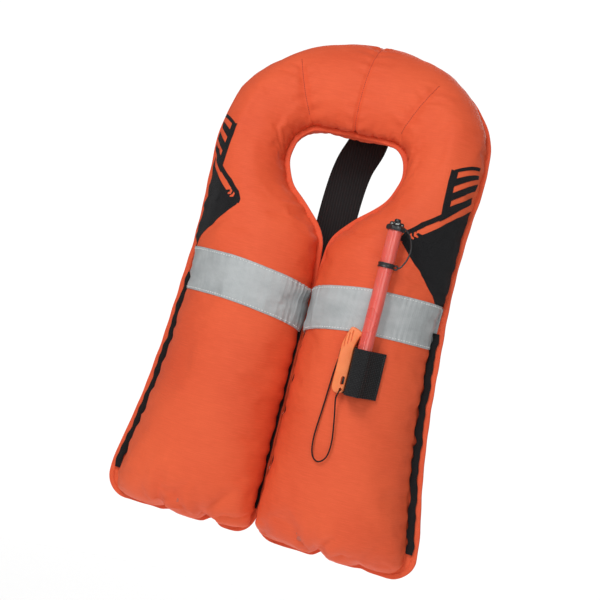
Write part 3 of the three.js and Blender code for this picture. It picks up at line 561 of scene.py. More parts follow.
def section(s):
    row = stations(s)
    outer, inner, depth = row[:, 0:2].copy(), row[:, 2:4].copy(), row[:, 4]
    on_lobe = (s < 5) | (s > LAST - 5)
    above = np.where(on_lobe, np.maximum(0, outer[:, 1] - FOOT_Z), 1e6)
    into_corner = np.maximum(0, FOOT_CORNER - above)
    inset = FOOT_CORNER - np.sqrt(FOOT_CORNER ** 2 - into_corner ** 2)
    side = np.sign(s - TOP)
    swell = np.clip((above - FOOT_MARGIN) / FOOT_ROUNDING, 0, 1)
    widening = np.clip((STRIP_MARGIN_TOP - outer[:, 1]) / STRIP_MARGIN_BLEND, 0, 1)
    outer[:, 0] -= side * inset
    inner[:, 0] += side * inset
    margin = EDGE_MARGIN + (STRIP_MARGIN - EDGE_MARGIN) * widening
    return outer, inner, margin, depth * np.sqrt(1 - (1 - swell) ** 2)


# Two tucks pinch the bottom edge of each lobe, as x, height and width.
TUCKS = [(86, 8, 8), (-52, 8, 8), (133, 2, 7), (-106, 3, 7)]


def ripple(x, z):
    """The soft waves of the flat margins."""
    return (0.5 * np.sin(x / 7.1 + z / 5.3) + 0.5 * np.sin(z / 8.7 - x / 11.9 + 1.3)
            + 0.3 * np.sin(x / 4.3 - z / 13.7 + 0.7))


def place(x, z, n):
    """The point that is n behind or before the middle sheet, which leans back towards the collar."""
    for middle, height, width in TUCKS:
        pull = height * np.exp(-((x - middle) / width) ** 2)
        z = z + pull * np.clip(1 - (z - FOOT_Z) / 60, 0, 1) ** 2
    rise = np.maximum(0, z - LEAN_START)
    angle = np.arctan(LEAN * rise / 100)
    return np.stack([x, LEAN * rise ** 2 / 200 + n * np.cos(angle), z - n * np.sin(angle)], -1)


def ideal(side, s, across, lift=FABRIC):
    """A point of the smooth inflated shape. across is 0 to 1 over the swelling and -1 to 2 over all."""
    s, across = np.broadcast_arrays(np.asarray(s, float), np.asarray(across, float))
    shape = s.shape
    s, across = s.ravel(), across.ravel()
    outer, inner, start, depth = section(s)
    to_inner = inner - outer
    width = np.linalg.norm(to_inner, axis=1)
    end = width - EDGE_MARGIN
    half, middle = (end - start) / 2, (end + start) / 2
    angle = np.pi * np.clip(across, 0, 1)
    over_out, over_in = overhang(s)
    along = middle - half * np.cos(angle) - over_out * hang(angle) + over_in * hang(np.pi - angle)
    along = np.where(across < 0, start * (1 + across), along)
    along = np.where(across > 1, end + (width - end) * (across - 1), along)
    spot = outer + to_inner * (along / width)[:, None]
    flat = np.clip(np.maximum(-across, across - 1) * 8 + 1, 0, 1)
    flat = np.maximum(flat, np.clip(1 - depth / 20, 0, 1))
    n = side * (lift + depth * np.sin(angle)) + ripple(spot[:, 0], spot[:, 1]) * flat * 0.8
    above = np.where((s < 5) | (s > LAST - 5), spot[:, 1] - FOOT_Z - FOOT_MARGIN, 1e6)
    spot[:, 1] -= FOOT_HANG * hang(1.1 * np.clip(above / 62, 0, 1)) * np.sin(angle) ** 0.7
    return place(spot[:, 0], spot[:, 1], n).reshape(shape + (3,))


def overhang(s):
    """How far the swelling hangs out over the outer and the inner margin, in millimetres."""
    from_top = np.abs(s - TOP)
    lobe = np.clip((from_top - 7.5) / 1.5, 0, 1)
    top = np.clip((3.2 - from_top) / 2.4, 0, 1)
    return 2.2, 0.4 + 5.6 * lobe + 5.5 * top


def hang(turn):
    """0 at the seam, 1 at about 20 degrees up the swelling, and 0 again past 60 degrees."""
    return np.sin(np.pi * np.clip(turn / 1.1, 0, 1) ** 0.6)


# Rows are closer over the foot and the collar, where the seams and tucks are.
HALF_ROWS = np.concatenate([
    np.linspace(0, 0.06, 5)[:-1], np.linspace(0.06, 0.9, 20)[:-1], np.linspace(0.9, 5, 76)[:-1],
    np.linspace(5, 9, 44)[:-1], np.linspace(9, TOP, 92),
])
ROWS = np.concatenate([HALF_ROWS, (LAST - HALF_ROWS[:-1])[::-1]])
COLUMNS = np.concatenate([np.linspace(-1, 0, 6)[:-1], np.linspace(0, 1, 57), np.linspace(1, 2, 5)[1:]])


def normals_of(grid):
    """Unit normals of a grid of points; toward the outside for both panels once signed."""
    across = np.gradient(grid, axis=1)
    along = np.gradient(grid, axis=0)
    normal = np.cross(along, across)
    return normal / np.maximum(1e-9, np.linalg.norm(normal, axis=2))[..., None]


def seam_distance(points, line):
    """Distance from each point to a line of points, and how far along the line the nearest spot is."""
    flat = points.reshape(-1, 3)
    best = np.full(len(flat), 1e9)
    along = np.zeros(len(flat))
    walked = 0.0
    for a, b in zip(line[:-1], line[1:]):
        step = b - a
        t = np.clip((flat - a) @ step / (step @ step), 0, 1)
        gap = np.linalg.norm(flat - (a + t[:, None] * step), axis=1)
        nearer = gap < best
        best[nearer] = gap[nearer]
        along[nearer] = walked + t[nearer] * np.linalg.norm(step)
        walked += np.linalg.norm(step)
    return best.reshape(points.shape[:2]), along.reshape(points.shape[:2])


# Seams of the collar on the front, as station and across pairs: the middle seam and a dart on each side.
COLLAR_SEAM = [(TOP, 0.0), (TOP, 1.0)]
RIGHT_DART = [(16.35, 0.36), (16.5, 0.6), (16.75, 0.86)]
DARTS = [RIGHT_DART, [(LAST - s, across) for s, across in RIGHT_DART]]


def seam_line(side, knots, count=40):
    knots = np.array(knots, float)
    t = np.linspace(0, len(knots) - 1, count)
    index = np.arange(len(knots))
    return ideal(side, np.interp(t, index, knots[:, 0]), np.interp(t, index, knots[:, 1]))


def seam_dip(points, line, depth, width, taper=True):
    """A sewn groove with puckers that run off it on both sides."""
    gap, along = seam_distance(points, line)
    total = np.sum(np.linalg.norm(np.diff(line, axis=0), axis=1))
    fade = 0.3 + 0.7 * np.clip(along / 30, 0, 1)
    if taper:
        fade = np.sin(np.pi * np.clip(along / total, 0.02, 0.98)) ** 0.5
    groove = -depth * np.exp(-(gap / width) ** 2) * fade
    pucker = 0.8 * np.exp(-((gap - 7) / 7) ** 2) * np.sin(along / 2.6 + gap / 9) * fade
    return groove + pucker


def wrinkled(side):
    """The panel's surface with its seams, puckers and tucks."""
    s, across = np.meshgrid(ROWS, COLUMNS, indexing="ij")
    points = ideal(side, s, across)
    out = normals_of(points) * -side
    if np.mean((out * [0, side, 0]).sum(-1)) < 0:
        out = -out
    push = np.zeros(s.shape)
    x, z = points[..., 0], points[..., 2]
    push += 0.7 * np.sin(x / 23 + z / 41) * np.sin(z / 29 - x / 37 + side)
    steps = np.linalg.norm(np.diff(points[:, len(COLUMNS) // 2], axis=0), axis=1)
    length = np.concatenate([[0], np.cumsum(steps)])[:, None]
    wander = 1.5 * np.sin(length / 31) + 1.1 * np.sin(length / 13.7 + 2)
    bulge = np.clip(across, 0, 1)
    from_edge = np.minimum(bulge, 1 - bulge) * 190
    inside = ((across > 0) & (across < 1)).astype(float)
    near_seam = np.exp(-from_edge / 13) * (1 - np.exp(-from_edge / 3))
    push += inside * 0.85 * near_seam * np.sin(length / 2.7 + wander)
    push += inside * 0.8 * np.exp(-from_edge / 26) * np.sin(length / 6.3 + 2 * wander)
    if side == FRONT:
        push += seam_dip(points, seam_line(side, COLLAR_SEAM), 2.8, 2.4, taper=False)
        for dart in DARTS:
            push += seam_dip(points, seam_line(side, dart), 4.6, 4.8)
    for middle, height, width in TUCKS:
        dx, dz = x - middle, z - (FOOT_Z + 4)
        reach = np.hypot(dx, dz)
        turn = np.arctan2(dx, np.maximum(dz, 0.1))
        rays = 1 - 2 * np.abs(np.sin(turn * 4.5 + 0.4 * np.sin(reach / 9) + middle)) ** 0.7
        push -= height / 8 * 2.3 * rays * np.exp(-((reach - 26) / 24) ** 2) * np.clip(dz / 12, 0, 1)
        crease = np.exp(-np.abs(dx + 0.12 * dz) / 4.5) * np.exp(-np.maximum(dz - 6, 0) / 17)
        push -= height / 8 * 8.0 * crease * np.clip(dz / 9, 0, 1)
    low = np.clip(1 - (z - FOOT_Z - 12) / 60, 0, 1) * np.clip((z - FOOT_Z - 8) / 10, 0, 1)
    push += low * 1.5 * np.sin(x / 5.2 + 1.7 * np.sin(x / 17)) * inside
    return points + out * push[..., None], out


def inflate(side, points, out):
    """Blender's cloth swells the panel over its pinned margin, which draws the real puckers at the seams."""
    rows, columns = points.shape[:2]
    piece = new_mesh("cloth_panel", points.reshape(-1, 3), grid_faces(rows, columns))
    wanted = Vector((0, side, 0))
    middle = piece.data.polygons[len(piece.data.polygons) // 2]
    if middle.normal.dot(wanted) < 0:
        piece.data.flip_normals()
    held = piece.vertex_groups.new(name="held")
    across = np.broadcast_to(COLUMNS[None, :], (rows, columns)).ravel()
    ends = np.zeros((rows, columns), bool)
    ends[:4] = ends[-4:] = True
    pinned = np.where((across <= 0.0) | (across >= 1.0) | ends.ravel())[0]
    held.add(pinned.tolist(), 1.0, "ADD")
    cloth = piece.modifiers.new("cloth", "CLOTH")
    settings = cloth.settings
    settings.quality = 5
    settings.mass = 0.3
    settings.tension_stiffness = 30
    settings.compression_stiffness = 30
    settings.shear_stiffness = 12
    settings.bending_stiffness = 0.6
    settings.use_pressure = True
    settings.uniform_pressure_force = 5.0
    settings.shrink_min = -0.022
    settings.shrink_max = -0.022
    settings.vertex_group_mass = "held"
    settings.effector_weights.gravity = 0.0
    cloth.collision_settings.use_collision = False
    cloth.point_cache.frame_start = 1
    cloth.point_cache.frame_end = CLOTH_FRAMES
    scene = bpy.context.scene
    for number in range(1, CLOTH_FRAMES + 1):
        scene.frame_set(number)
    apply_modifiers(piece)
    moved = np.array([v.co for v in piece.data.vertices], float).reshape(rows, columns, 3) / MM
    bpy.data.objects.remove(piece)
    scene.frame_set(1)
    shift = moved - points
    loose = np.clip(np.minimum(COLUMNS, 1 - COLUMNS) / 0.06, 0, 1)[None, :, None]
    shift = (shift - 0.9 * smoothed(shift, 9)) * loose
    size = np.linalg.norm(shift, axis=2)
    limit = CLOTH_LIMIT * np.tanh(size / CLOTH_LIMIT) / np.maximum(size, 1e-9)
    return points + shift * limit[..., None]


def smoothed(grid, reach):
    """The grid's broad shape: a running mean along its rows and then its columns."""
    out = grid
    for axis in (0, 1):
        pad = [(0, 0)] * grid.ndim
        pad[axis] = (reach, reach)
        filled = np.cumsum(np.pad(out, pad, mode="edge"), axis=axis)
        filled = np.concatenate([np.zeros_like(np.take(filled, [0], axis)), filled], axis)
        size = grid.shape[axis]
        high = np.take(filled, np.arange(2 * reach + 1, 2 * reach + 1 + size), axis)
        low = np.take(filled, np.arange(size), axis)
        out = (high - low) / (2 * reach + 1)
    return out


PANEL_GRID = {}
for panel_side in (FRONT, BACK):
    surface, outward = wrinkled(panel_side)
    surface = inflate(panel_side, surface, outward)
    normal = normals_of(surface)
    if np.mean(normal[..., 1]) * panel_side < 0:
        normal = -normal
    PANEL_GRID[panel_side] = (surface, normal)


def on_panel(side, s, across, lift):
    """Points that ride lift over the finished panel, at stations s and places across."""
    surface, normal = PANEL_GRID[side]
    s, across = np.broadcast_arrays(np.asarray(s, float), np.asarray(across, float))
    i = np.interp(s, ROWS, np.arange(len(ROWS)))
    j = np.interp(across, COLUMNS, np.arange(len(COLUMNS)))
    i0 = np.clip(np.floor(i).astype(int), 0, len(ROWS) - 2)
    j0 = np.clip(np.floor(j).astype(int), 0, len(COLUMNS) - 2)
    u, v = (i - i0)[..., None], (j - j0)[..., None]

    def blend(grid):
        return ((grid[i0, j0] * (1 - u) + grid[i0 + 1, j0] * u) * (1 - v)
                + (grid[i0, j0 + 1] * (1 - u) + grid[i0 + 1, j0 + 1] * u) * v)

    n = blend(normal)
    n /= np.linalg.norm(n, axis=-1)[..., None]
    return blend(surface) + n * np.asarray(lift)[..., None]


def station_at(z, across):
    """The station on the right lobe whose cut passes flat height z at that place across it."""
    z, across = np.broadcast_arrays(np.asarray(z, float), np.asarray(across, float))
    low, high = np.full(z.shape, TOP + 3.0), np.full(z.shape, float(LAST))
    share = (1 - np.cos(np.pi * np.clip(across, 0, 1))) / 2
    for _ in range(30):
        middle = (low + high) / 2
        row = stations(middle.ravel())
        height = row[:, 1].reshape(z.shape) * (1 - share) + row[:, 3].reshape(z.shape) * share
        low, high = np.where(height > z, middle, low), np.where(height > z, high, middle)
    return low


def sided(s, mirror):
    """A station of the right lobe, or its twin on the left."""
    return s if mirror > 0 else LAST - s


# ---------------------------------------------------------------- sleeve, bladder and binding

for panel_side, panel_name in ((FRONT, "front"), (BACK, "back")):
    surface, normal = PANEL_GRID[panel_side]
    sleeve = shell(f"sleeve_{panel_name}_fabric", surface, surface - normal * 0.8, mat_fabric)
    stand_for(sleeve, "jacket", "fabric", f"sleeve_{panel_name}")
    inner_rows = np.where((ROWS > 0.45) & (ROWS < LAST - 0.45))[0][::4]
    inner_columns = np.where((COLUMNS >= 0) & (COLUMNS <= 1))[0][::4]
    film = surface[np.ix_(inner_rows, inner_columns)] - normal[np.ix_(inner_rows, inner_columns)] * 3.0
    film_normal = normal[np.ix_(inner_rows, inner_columns)]
    middle_sheet = place(film[..., 0], film[..., 2], 0.0)
    film[..., 1] = np.where(panel_side * (film[..., 1] - middle_sheet[..., 1]) < 0.3,
                            middle_sheet[..., 1] + 0.3 * panel_side, film[..., 1])
    bladder = shell(f"bladder_{panel_name}_film", film, film - film_normal * 0.6, mat_lining)
    stand_for(bladder, "jacket", "lining", f"bladder_{panel_name}")


def edge_line():
    """Points round the whole edge, with the direction that leads inwards."""
    rows = np.concatenate([
        np.linspace(0, 0.06, 6)[:-1], np.linspace(0.06, 0.9, 26)[:-1], np.linspace(0.9, LAST - 0.9, 420)[:-1],
        np.linspace(LAST - 0.9, LAST - 0.06, 26)[:-1], np.linspace(LAST - 0.06, LAST, 6),
    ])
    outer, inner, _, _ = section(rows)
    foot_right = np.linspace(outer[-1], inner[-1], 44)[1:-1]
    foot_left = np.linspace(inner[0], outer[0], 44)[1:-1]
    line = np.vstack([outer, foot_right, inner[::-1], foot_left])
    along = np.roll(line, -2, 0) - np.roll(line, 2, 0)
    along /= np.linalg.norm(along, axis=1)[:, None]
    return line, np.stack([along[:, 1], -along[:, 0]], 1)


def edge_point(line, inward, q, n):
    spot = line + inward * np.asarray(q)[..., None]
    return place(spot[..., 0], spot[..., 1], n + ripple(spot[..., 0], spot[..., 1]) * 0.8)


def edge_binding():
    line, inward = edge_line()
    thick = FABRIC + 0.75
    profile = rounded([
        (BINDING_LEG, -FABRIC - 0.1), (BINDING_LEG, -thick - 0.15), (3, -thick - 0.3), (-1.2, -thick),
        (-1.6, 0), (-1.2, thick), (3, thick + 0.3), (BINDING_LEG, thick + 0.15), (BINDING_LEG, FABRIC + 0.1),
        (-0.5, FABRIC + 0.1), (-0.5, -FABRIC - 0.1), (BINDING_LEG, -FABRIC - 0.1),
    ], 0.6, 2)[:-1]
    q = np.array([p[0] for p in profile])
    n = np.array([p[1] for p in profile])
    walked = np.concatenate([[0], np.cumsum(np.linalg.norm(np.diff(line, axis=0), axis=1))])[:, None]
    pucker = 0.35 * np.sin(walked / 1.35) * np.clip(q / BINDING_LEG, 0, 1)
    rings = edge_point(line[:, None], inward[:, None], q[None, :] + 0.2 * np.sin(walked / 5.1),
                       n[None, :] + np.sign(n) * pucker)
    rows, columns = rings.shape[:2]
    faces = grid_faces(rows, columns, 0, True, True)
    return new_mesh("edge_binding_tape", rings.reshape(-1, 3), faces, mat_binding)


binding = edge_binding()
stand_for(binding, "jacket", "binding", "edge_binding")


def stitches(name, path, normal, material, pitch=3.6, length=2.3, width=0.5, height=0.28):
    """A row of real stitches: small rounded lozenges laid along a path."""
    path = np.asarray(path, float)
    step = np.linalg.norm(np.diff(path, axis=0), axis=1)
    walked = np.concatenate([[0], np.cumsum(step)])
    centres = np.arange(pitch / 2, walked[-1] - pitch / 2, pitch)
    points, faces = [], []
    ring = [(-0.5, 0), (-0.25, 1), (0.25, 1), (0.5, 0)]

    def at(distance, values):
        return np.array([np.interp(distance, walked, values[:, k]) for k in range(3)])

    for centre in centres:
        middle, up = at(centre, path), at(centre, normal)
        along = at(centre + 0.3, path) - at(centre - 0.3, path)
        along /= np.linalg.norm(along)
        up = up / np.linalg.norm(up)
        side = np.cross(along, up)
        base = len(points)
        for end, share in ((-0.5, 0.35), (-0.3, 1), (0.3, 1), (0.5, 0.35)):
            for across, rise in ring:
                points.append(middle + along * end * length + side * across * 2 * width * share
                              + up * (rise * height * share))
        for k in range(3):
            for m in range(3):
                a = base + k * 4 + m
                faces.append((a, a + 1, a + 5, a + 4))
            faces.append((base + k * 4 + 3, base + k * 4, base + k * 4 + 4, base + k * 4 + 7))
        faces.append((base, base + 3, base + 2, base + 1))
        faces.append((base + 12, base + 13, base + 14, base + 15))
    return new_mesh(name, points, faces, material)


def binding_stitches():
    line, inward = edge_line()
    for side, name in ((FRONT, "front"), (BACK, "back")):
        height = side * (FABRIC + 1.05)
        inset = np.full(len(line), 3.9)
        path = edge_point(line, inward, inset, np.full(len(line), float(height)))
        up = edge_point(line, inward, inset, np.full(len(line), float(height + side))) - path
        row = stitches(f"binding_stitches_{name}", path, up, mat_thread)
        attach(row, "jacket")


binding_stitches()

# ---------------------------------------------------------------- trim on the front


def trim_strip(name, s, across, low, high, material):
    """A piece laid on the front panel: a grid of stations and places across, from lift low to lift high."""
    low = np.full(np.shape(across), low)
    return shell(name, on_panel(FRONT, s, across, high), on_panel(FRONT, s, across, low), material)


def tape_height(across):
    """The tape runs level over the outer half of a lobe and dips towards the valley."""
    dip = np.clip((across - 0.45) / 0.55, 0, 1)
    return -139 - 16 * dip ** 1.6 + 1.5 * np.sin(across * 5)


def tape_lift(a, d, mirror):
    """How far the tape stands off the fabric: it gathers at its sewn edges and folds at its ends."""
    arc = a * 200
    near_edge = np.exp(-((0.5 - np.abs(d)) * TAPE_WIDTH / 8))
    near_end = np.clip((a - 0.66) / 0.3, 0, 1) + 0.5 * np.clip((0.1 - a) / 0.2, 0, 1)
    gather = (0.9 + 1.4 * near_end) * (0.12 + near_edge)
    creases = np.sin(arc / 1.25 + 2.4 * np.sin(arc / 9) + mirror) * (0.7 + 0.3 * np.sin(arc / 4.1))
    folds = near_end * (np.exp(-np.abs(np.sin(arc / 7.5 + 0.5 * d + mirror)) / 0.22) - 0.3)
    swell = 0.22 * np.sin(arc / 13 + 2 * d + 2 * mirror) * (1 - near_edge)
    return 0.7 + 1.3 * near_end + 0.36 * gather * creases + 0.1 * gather + 1.5 * folds + swell


def reflective_tape(name, mirror):
    across = np.concatenate([
        np.linspace(-0.42, 0, 8)[:-1], np.linspace(0, 1, 220), np.linspace(1, 1.12, 4)[1:],
    ])
    down = np.linspace(-0.5, 0.5, 34)
    a, d = np.meshgrid(across, down, indexing="ij")
    s = sided(station_at(tape_height(a) + d * TAPE_WIDTH * -1, a), mirror)
    lift = tape_lift(a, d, mirror)
    return trim_strip(name, s, a, -0.2, lift, mat_tape)


def collar_seam_stitches():
    """The thread that lies in the collar's seams; its dark tone is painted shade of the seam grooves."""
    lines = [(COLLAR_SEAM, "middle"), (DARTS[0], "dart_right"), (DARTS[1], "dart_left")]
    for knots, name in lines:
        knots = np.array(knots, float)
        t = np.linspace(0.03, len(knots) - 1.03, 120)
        index = np.arange(len(knots))
        s, across = np.interp(t, index, knots[:, 0]), np.interp(t, index, knots[:, 1])
        path = on_panel(FRONT, s, across, np.full(len(t), 0.1))
        up = on_panel(FRONT, s, across, np.full(len(t), 1.1)) - path
        row = stitches(f"collar_seam_{name}", path, up, mat_seam_thread_painted_shade, 2.6, 2.2, 0.45, 0.3)
        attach(row, "jacket")


collar_seam_stitches()


def tape_stitches(name, mirror):
    for k, d in enumerate((-0.5, 0.5)):
        across = np.linspace(-0.4, 1.08, 260)
        inset = d * (TAPE_WIDTH - 5)
        s = sided(station_at(tape_height(across) - inset, across), mirror)
        lift = tape_lift(across, inset / -TAPE_WIDTH, mirror) - 0.05
        path = on_panel(FRONT, s, across, lift)
        up = on_panel(FRONT, s, across, lift + 1) - path
        row = stitches(f"{name}_{k}", path, up, mat_grey_thread, 3.6, 2.3, 0.6, 0.45)
        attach(row, "jacket")


def hook_strip(name, mirror, edge):
    """A wavy strip of hook tape along a lobe's flat margin."""
    z = np.linspace(-144, -392, 250)
    s = station_at(z, 0.0)
    outer, inner, _, _ = section(s)
    start, inward, first, width = (outer, -1, 4.2, STRIP_WIDTH) if edge == "outer" else (inner, 1, 0.7, 4.8)
    wave = 0.5 * np.sin(z / 4.6) + 0.6 * np.sin(z / 9.7 + mirror) + 0.4 * np.sin(z / 2.6 + 1)
    if edge == "inner":
        wave = wave * 0.3
    across = np.linspace(0, 1, 7)
    uneven = 1.1 * np.sin(z / 3.7 + 2 * np.sin(z / 15))
    q = first + wave[:, None] + across[None, :] * (width + uneven[:, None])
    base = (3.0 if edge == "outer" else 2.5) + 0.35 * np.sin(z / 3.1 + 2)[:, None]
    crown = 0.5 * np.sin(np.pi * across)[None, :]
    x = mirror * (start[:, 0][:, None] + inward * q)

    def layer(height):
        return place(x, np.broadcast_to(z[:, None], x.shape), -(base + height) + ripple(x, z[:, None]) * 0.8)

    return shell(name, layer(1.3 + crown), layer(np.zeros_like(crown)), mat_hook)


# The shoulder graphic on the right lobe, in (station, across) pairs. It follows the photo closely. Its
# corners were read in the photo by eye and turned into these pairs by a scratch program, then rounded: they
# aren't worked out from driving sizes.
# Four bars grow out of a spine: each is given by its outer end, its root, and its widths there in stations.
BARS = [
    ((18.80, 0.135), (19.01, 0.37), 0.07, 0.09), ((18.97, 0.12), (19.27, 0.34), 0.08, 0.20),
    ((19.19, 0.107), (19.62, 0.325), 0.16, 0.22), ((19.50, 0.10), (20.05, 0.325), 0.15, 0.32),
]
BAR_BOW = 0.035
SPINE = [
    (18.97, 0.398), (19.25, 0.392), (19.60, 0.368), (20.04, 0.335), (20.04, 0.28), (19.40, 0.33),
    (19.0, 0.34),
]
# A band runs on from the last bar to the tip. Below it, past an orange stripe, lies the wedge.
BAND = [
    (20.00, 0.27), (20.04, 0.335), (20.37, 0.435), (20.70, 0.485), (20.95, 0.492), (21.09, 0.48),
    (21.08, 0.455), (20.90, 0.425), (20.61, 0.432), (20.41, 0.395), (20.23, 0.34),
]
WEDGE = [
    (20.86, 0.44), (20.66, 0.418), (20.67, 0.39), (20.47, 0.345), (20.20, 0.272), (20.00, 0.20),
    (19.78, 0.085), (19.66, 0.005), (21.50, 0.005), (22.00, -0.04), (22.30, -0.18), (22.62, -0.33),
    (22.62, 0.125), (22.30, 0.175), (22.00, 0.24), (21.62, 0.325), (21.38, 0.395), (21.12, 0.468),
    (21.02, 0.462),
]
# Two small chevrons lie beyond the stripe's end, one a step along from the other.
CHEVRON = [(20.645, 0.434), (20.72, 0.425), (20.755, 0.404), (20.80, 0.404), (20.80, 0.43), (20.70, 0.441)]
CHEVRON_STEP = (0.09, 0.017)


def bar_outline(end, root, end_width, root_width):
    t = np.linspace(0, 1, 6)
    s = end[0] + (root[0] - end[0]) * t - 4 * BAR_BOW * t * (1 - t)
    across = end[1] + (root[1] - end[1]) * t
    half = (end_width + (root_width - end_width) * t) / 2
    return [*zip(s - half, across), *zip((s + half)[::-1], across[::-1])]


def conformal(name, outline, mirror, low, high, material, pitch=(0.045, 0.014)):
    """A flat shape in station and across space, filled with small faces and laid on the front panel."""
    outline = [Vector(p) for p in outline]
    dense = []
    for a, b in zip(outline, outline[1:] + outline[:1]):
        steps = max(1, int(max(abs((b - a).x) / pitch[0], abs((b - a).y) / pitch[1])))
        dense += [a.lerp(b, k / steps) for k in range(steps)]
    low_s, high_s = min(p.x for p in dense), max(p.x for p in dense)
    low_a, high_a = min(p.y for p in dense), max(p.y for p in dense)
    inner = [
        Vector((s, a)) for s in np.arange(low_s + pitch[0] / 2, high_s, pitch[0])
        for a in np.arange(low_a + pitch[1] / 2, high_a, pitch[1])
    ]
    edges = [(k, (k + 1) % len(dense)) for k in range(len(dense))]
    made = geometry.delaunay_2d_cdt(dense + inner, edges, [], 0, 1e-5)
    spots = np.array([tuple(v) for v in made[0]])
    ring = [tuple(v) for v in dense]
    faces = [tuple(f) for f in made[2] if inside(ring, spots[list(f)].mean(0))]
    used = sorted({k for f in faces for k in f})
    renumber = {k: m for m, k in enumerate(used)}
    faces = [tuple(renumber[k] for k in f) for f in faces]
    spots = spots[used]
    s = sided(spots[:, 0], mirror)
    upper = on_panel(FRONT, s, spots[:, 1], np.full(len(spots), high))
    lower = on_panel(FRONT, s, spots[:, 1], np.full(len(spots), low))
    count = len(spots)
    border = {}
    for f in faces:
        for a, b in zip(f, f[1:] + f[:1]):
            if (b, a) in border:
                del border[(b, a)]
            else:
                border[(a, b)] = True
    walls = [(a, b, b + count, a + count) for a, b in border]
    bottom = [tuple(k + count for k in reversed(f)) for f in faces]
    return new_mesh(name, np.vstack([upper, lower]), faces + bottom + walls, material)


def inside(ring, spot):
    """True if a point is inside a closed ring, by counting the sides that a ray crosses."""
    x, y = spot
    crossings = 0
    for (x1, y1), (x2, y2) in zip(ring, ring[1:] + ring[:1]):
        if (y1 > y) != (y2 > y) and x < (x2 - x1) * (y - y1) / (y2 - y1) + x1:
            crossings += 1
    return crossings % 2 == 1


def joined(name, pieces):
    """Several meshes as one object."""
    merged = bmesh.new()
    materials = []
    for piece in pieces:
        offset = len(materials)
        materials += list(piece.data.materials)
        start = len(merged.faces)
        merged.from_mesh(piece.data)
        merged.faces.ensure_lookup_table()
        for k in range(start, len(merged.faces)):
            merged.faces[k].material_index += offset
    mesh = bpy.data.meshes.new(name)
    merged.to_mesh(mesh)
    merged.free()
    for material in materials:
        mesh.materials.append(material)
    for piece in pieces:
        bpy.data.objects.remove(piece)
    made = bpy.data.objects.new(name, mesh)
    bpy.context.scene.collection.objects.link(made)
    return made


def shoulder_panel(name, mirror):
    black = [WEDGE, BAND, SPINE, *(bar_outline(*bar) for bar in BARS)]
    parts = [
        conformal(f"{name}_{k}", shape, mirror, 0.1, 0.5 + 0.02 * k, mat_panel)
        for k, shape in enumerate(black)
    ]
    for k in range(2):
        mark = [(s + k * CHEVRON_STEP[0], across + k * CHEVRON_STEP[1]) for s, across in CHEVRON]
        parts.append(conformal(f"{name}_mark_{k}", mark, mirror, 0.5, 0.75, mat_fabric, (0.03, 0.01)))
    return joined(name, parts)


for trim_name, trim_mirror in (("right", 1), ("left", -1)):
    tape = reflective_tape(f"tape_{trim_name}", trim_mirror)
    stand_for(tape, "jacket", "reflective", f"reflective_tape_{trim_name}")
    tape_stitches(f"tape_stitches_{trim_name}", trim_mirror)
    panel = shoulder_panel(f"shoulder_graphic_{trim_name}", trim_mirror)
    stand_for(panel, "jacket", "black_fabric", f"shoulder_panel_{trim_name}")
    for trim_edge in ("outer", "inner"):
        strip = hook_strip(f"hook_{trim_edge}_{trim_name}", trim_mirror, trim_edge)
        stand_for(strip, "jacket", "black_fabric", f"{trim_edge}_hook_strip_{trim_name}")

# ---------------------------------------------------------------- oral inflation tube

ORAL = {"x": 91, "y": -78, "z": -205, "tilt": math.radians(2.5)}
TO_ORAL = (Matrix.Translation(Vector((ORAL["x"], ORAL["y"], ORAL["z"])) * MM)
           @ Matrix.Rotation(-ORAL["tilt"], 4, "X"))


def oral_points(points):
    """Points of the tube's own frame, in the row frame, in millimetres."""
    return np.array([tuple((TO_ORAL @ (Vector(p) * MM)) / MM) for p in points])


def oral_piece(name, profile, material, body, slot_name, node, **shape):
    piece = turned(name, profile, material, where=TO_ORAL, **shape)
    return stand_for(piece, body, slot_name, node)


def soft_tube_profile():
    """The tube, a little uneven as soft moulded tube is, with a rolled lip at the top."""
    z = np.linspace(8, 162, 60)
    outside = [(8 + 0.10 * math.sin(v / 9) + 0.06 * math.sin(v / 3.7), v) for v in z]
    lip = [(8.15, 163.5), (8.0, 165.4), (7.2, 166), (6.2, 165.6), (6, 164.5)]
    return [(6, 8), *outside, *lip, (6, 8)]


oral_piece("soft_tube", soft_tube_profile(), mat_tube, "jacket", "tube_red", "oral_tube")


def crown_cap():
    """The cap: a lobed skirt that the fingers grip, a dished crown with smaller lobes, and a round knob."""
    skirt = turned("cap_skirt", rounded([
        (8.5, 160), (9.6, 160), (10.4, 161.2), (10.3, 164.4), (8.8, 165.8), (6.6, 166.4), (0, 166.4),
        (0, 164.4), (8.3, 164.2), (8.5, 160),
    ], 0.5, 3), mat_black, 144, TO_ORAL, 7, 0.075)
    crown = turned("cap_crown", rounded([
        (0, 166), (7.2, 166), (7.6, 167), (7.0, 169.2), (5.2, 169.8), (0, 169.8), (0, 166),
    ], 0.5, 3), mat_black, 144, TO_ORAL, 7, 0.11)
    knob = turned("cap_knob", rounded([
        (0, 169.4), (3.4, 169.4), (3.7, 170.4), (3.5, 172.6), (2.6, 173.4), (0, 173.4), (0, 169.4),
    ], 0.4, 3), mat_black, 48, TO_ORAL)
    return joined("crown_cap", [skirt, crown, knob])


cap = crown_cap()
stand_for(cap, "cap", "black_plastic", "tube_cap")


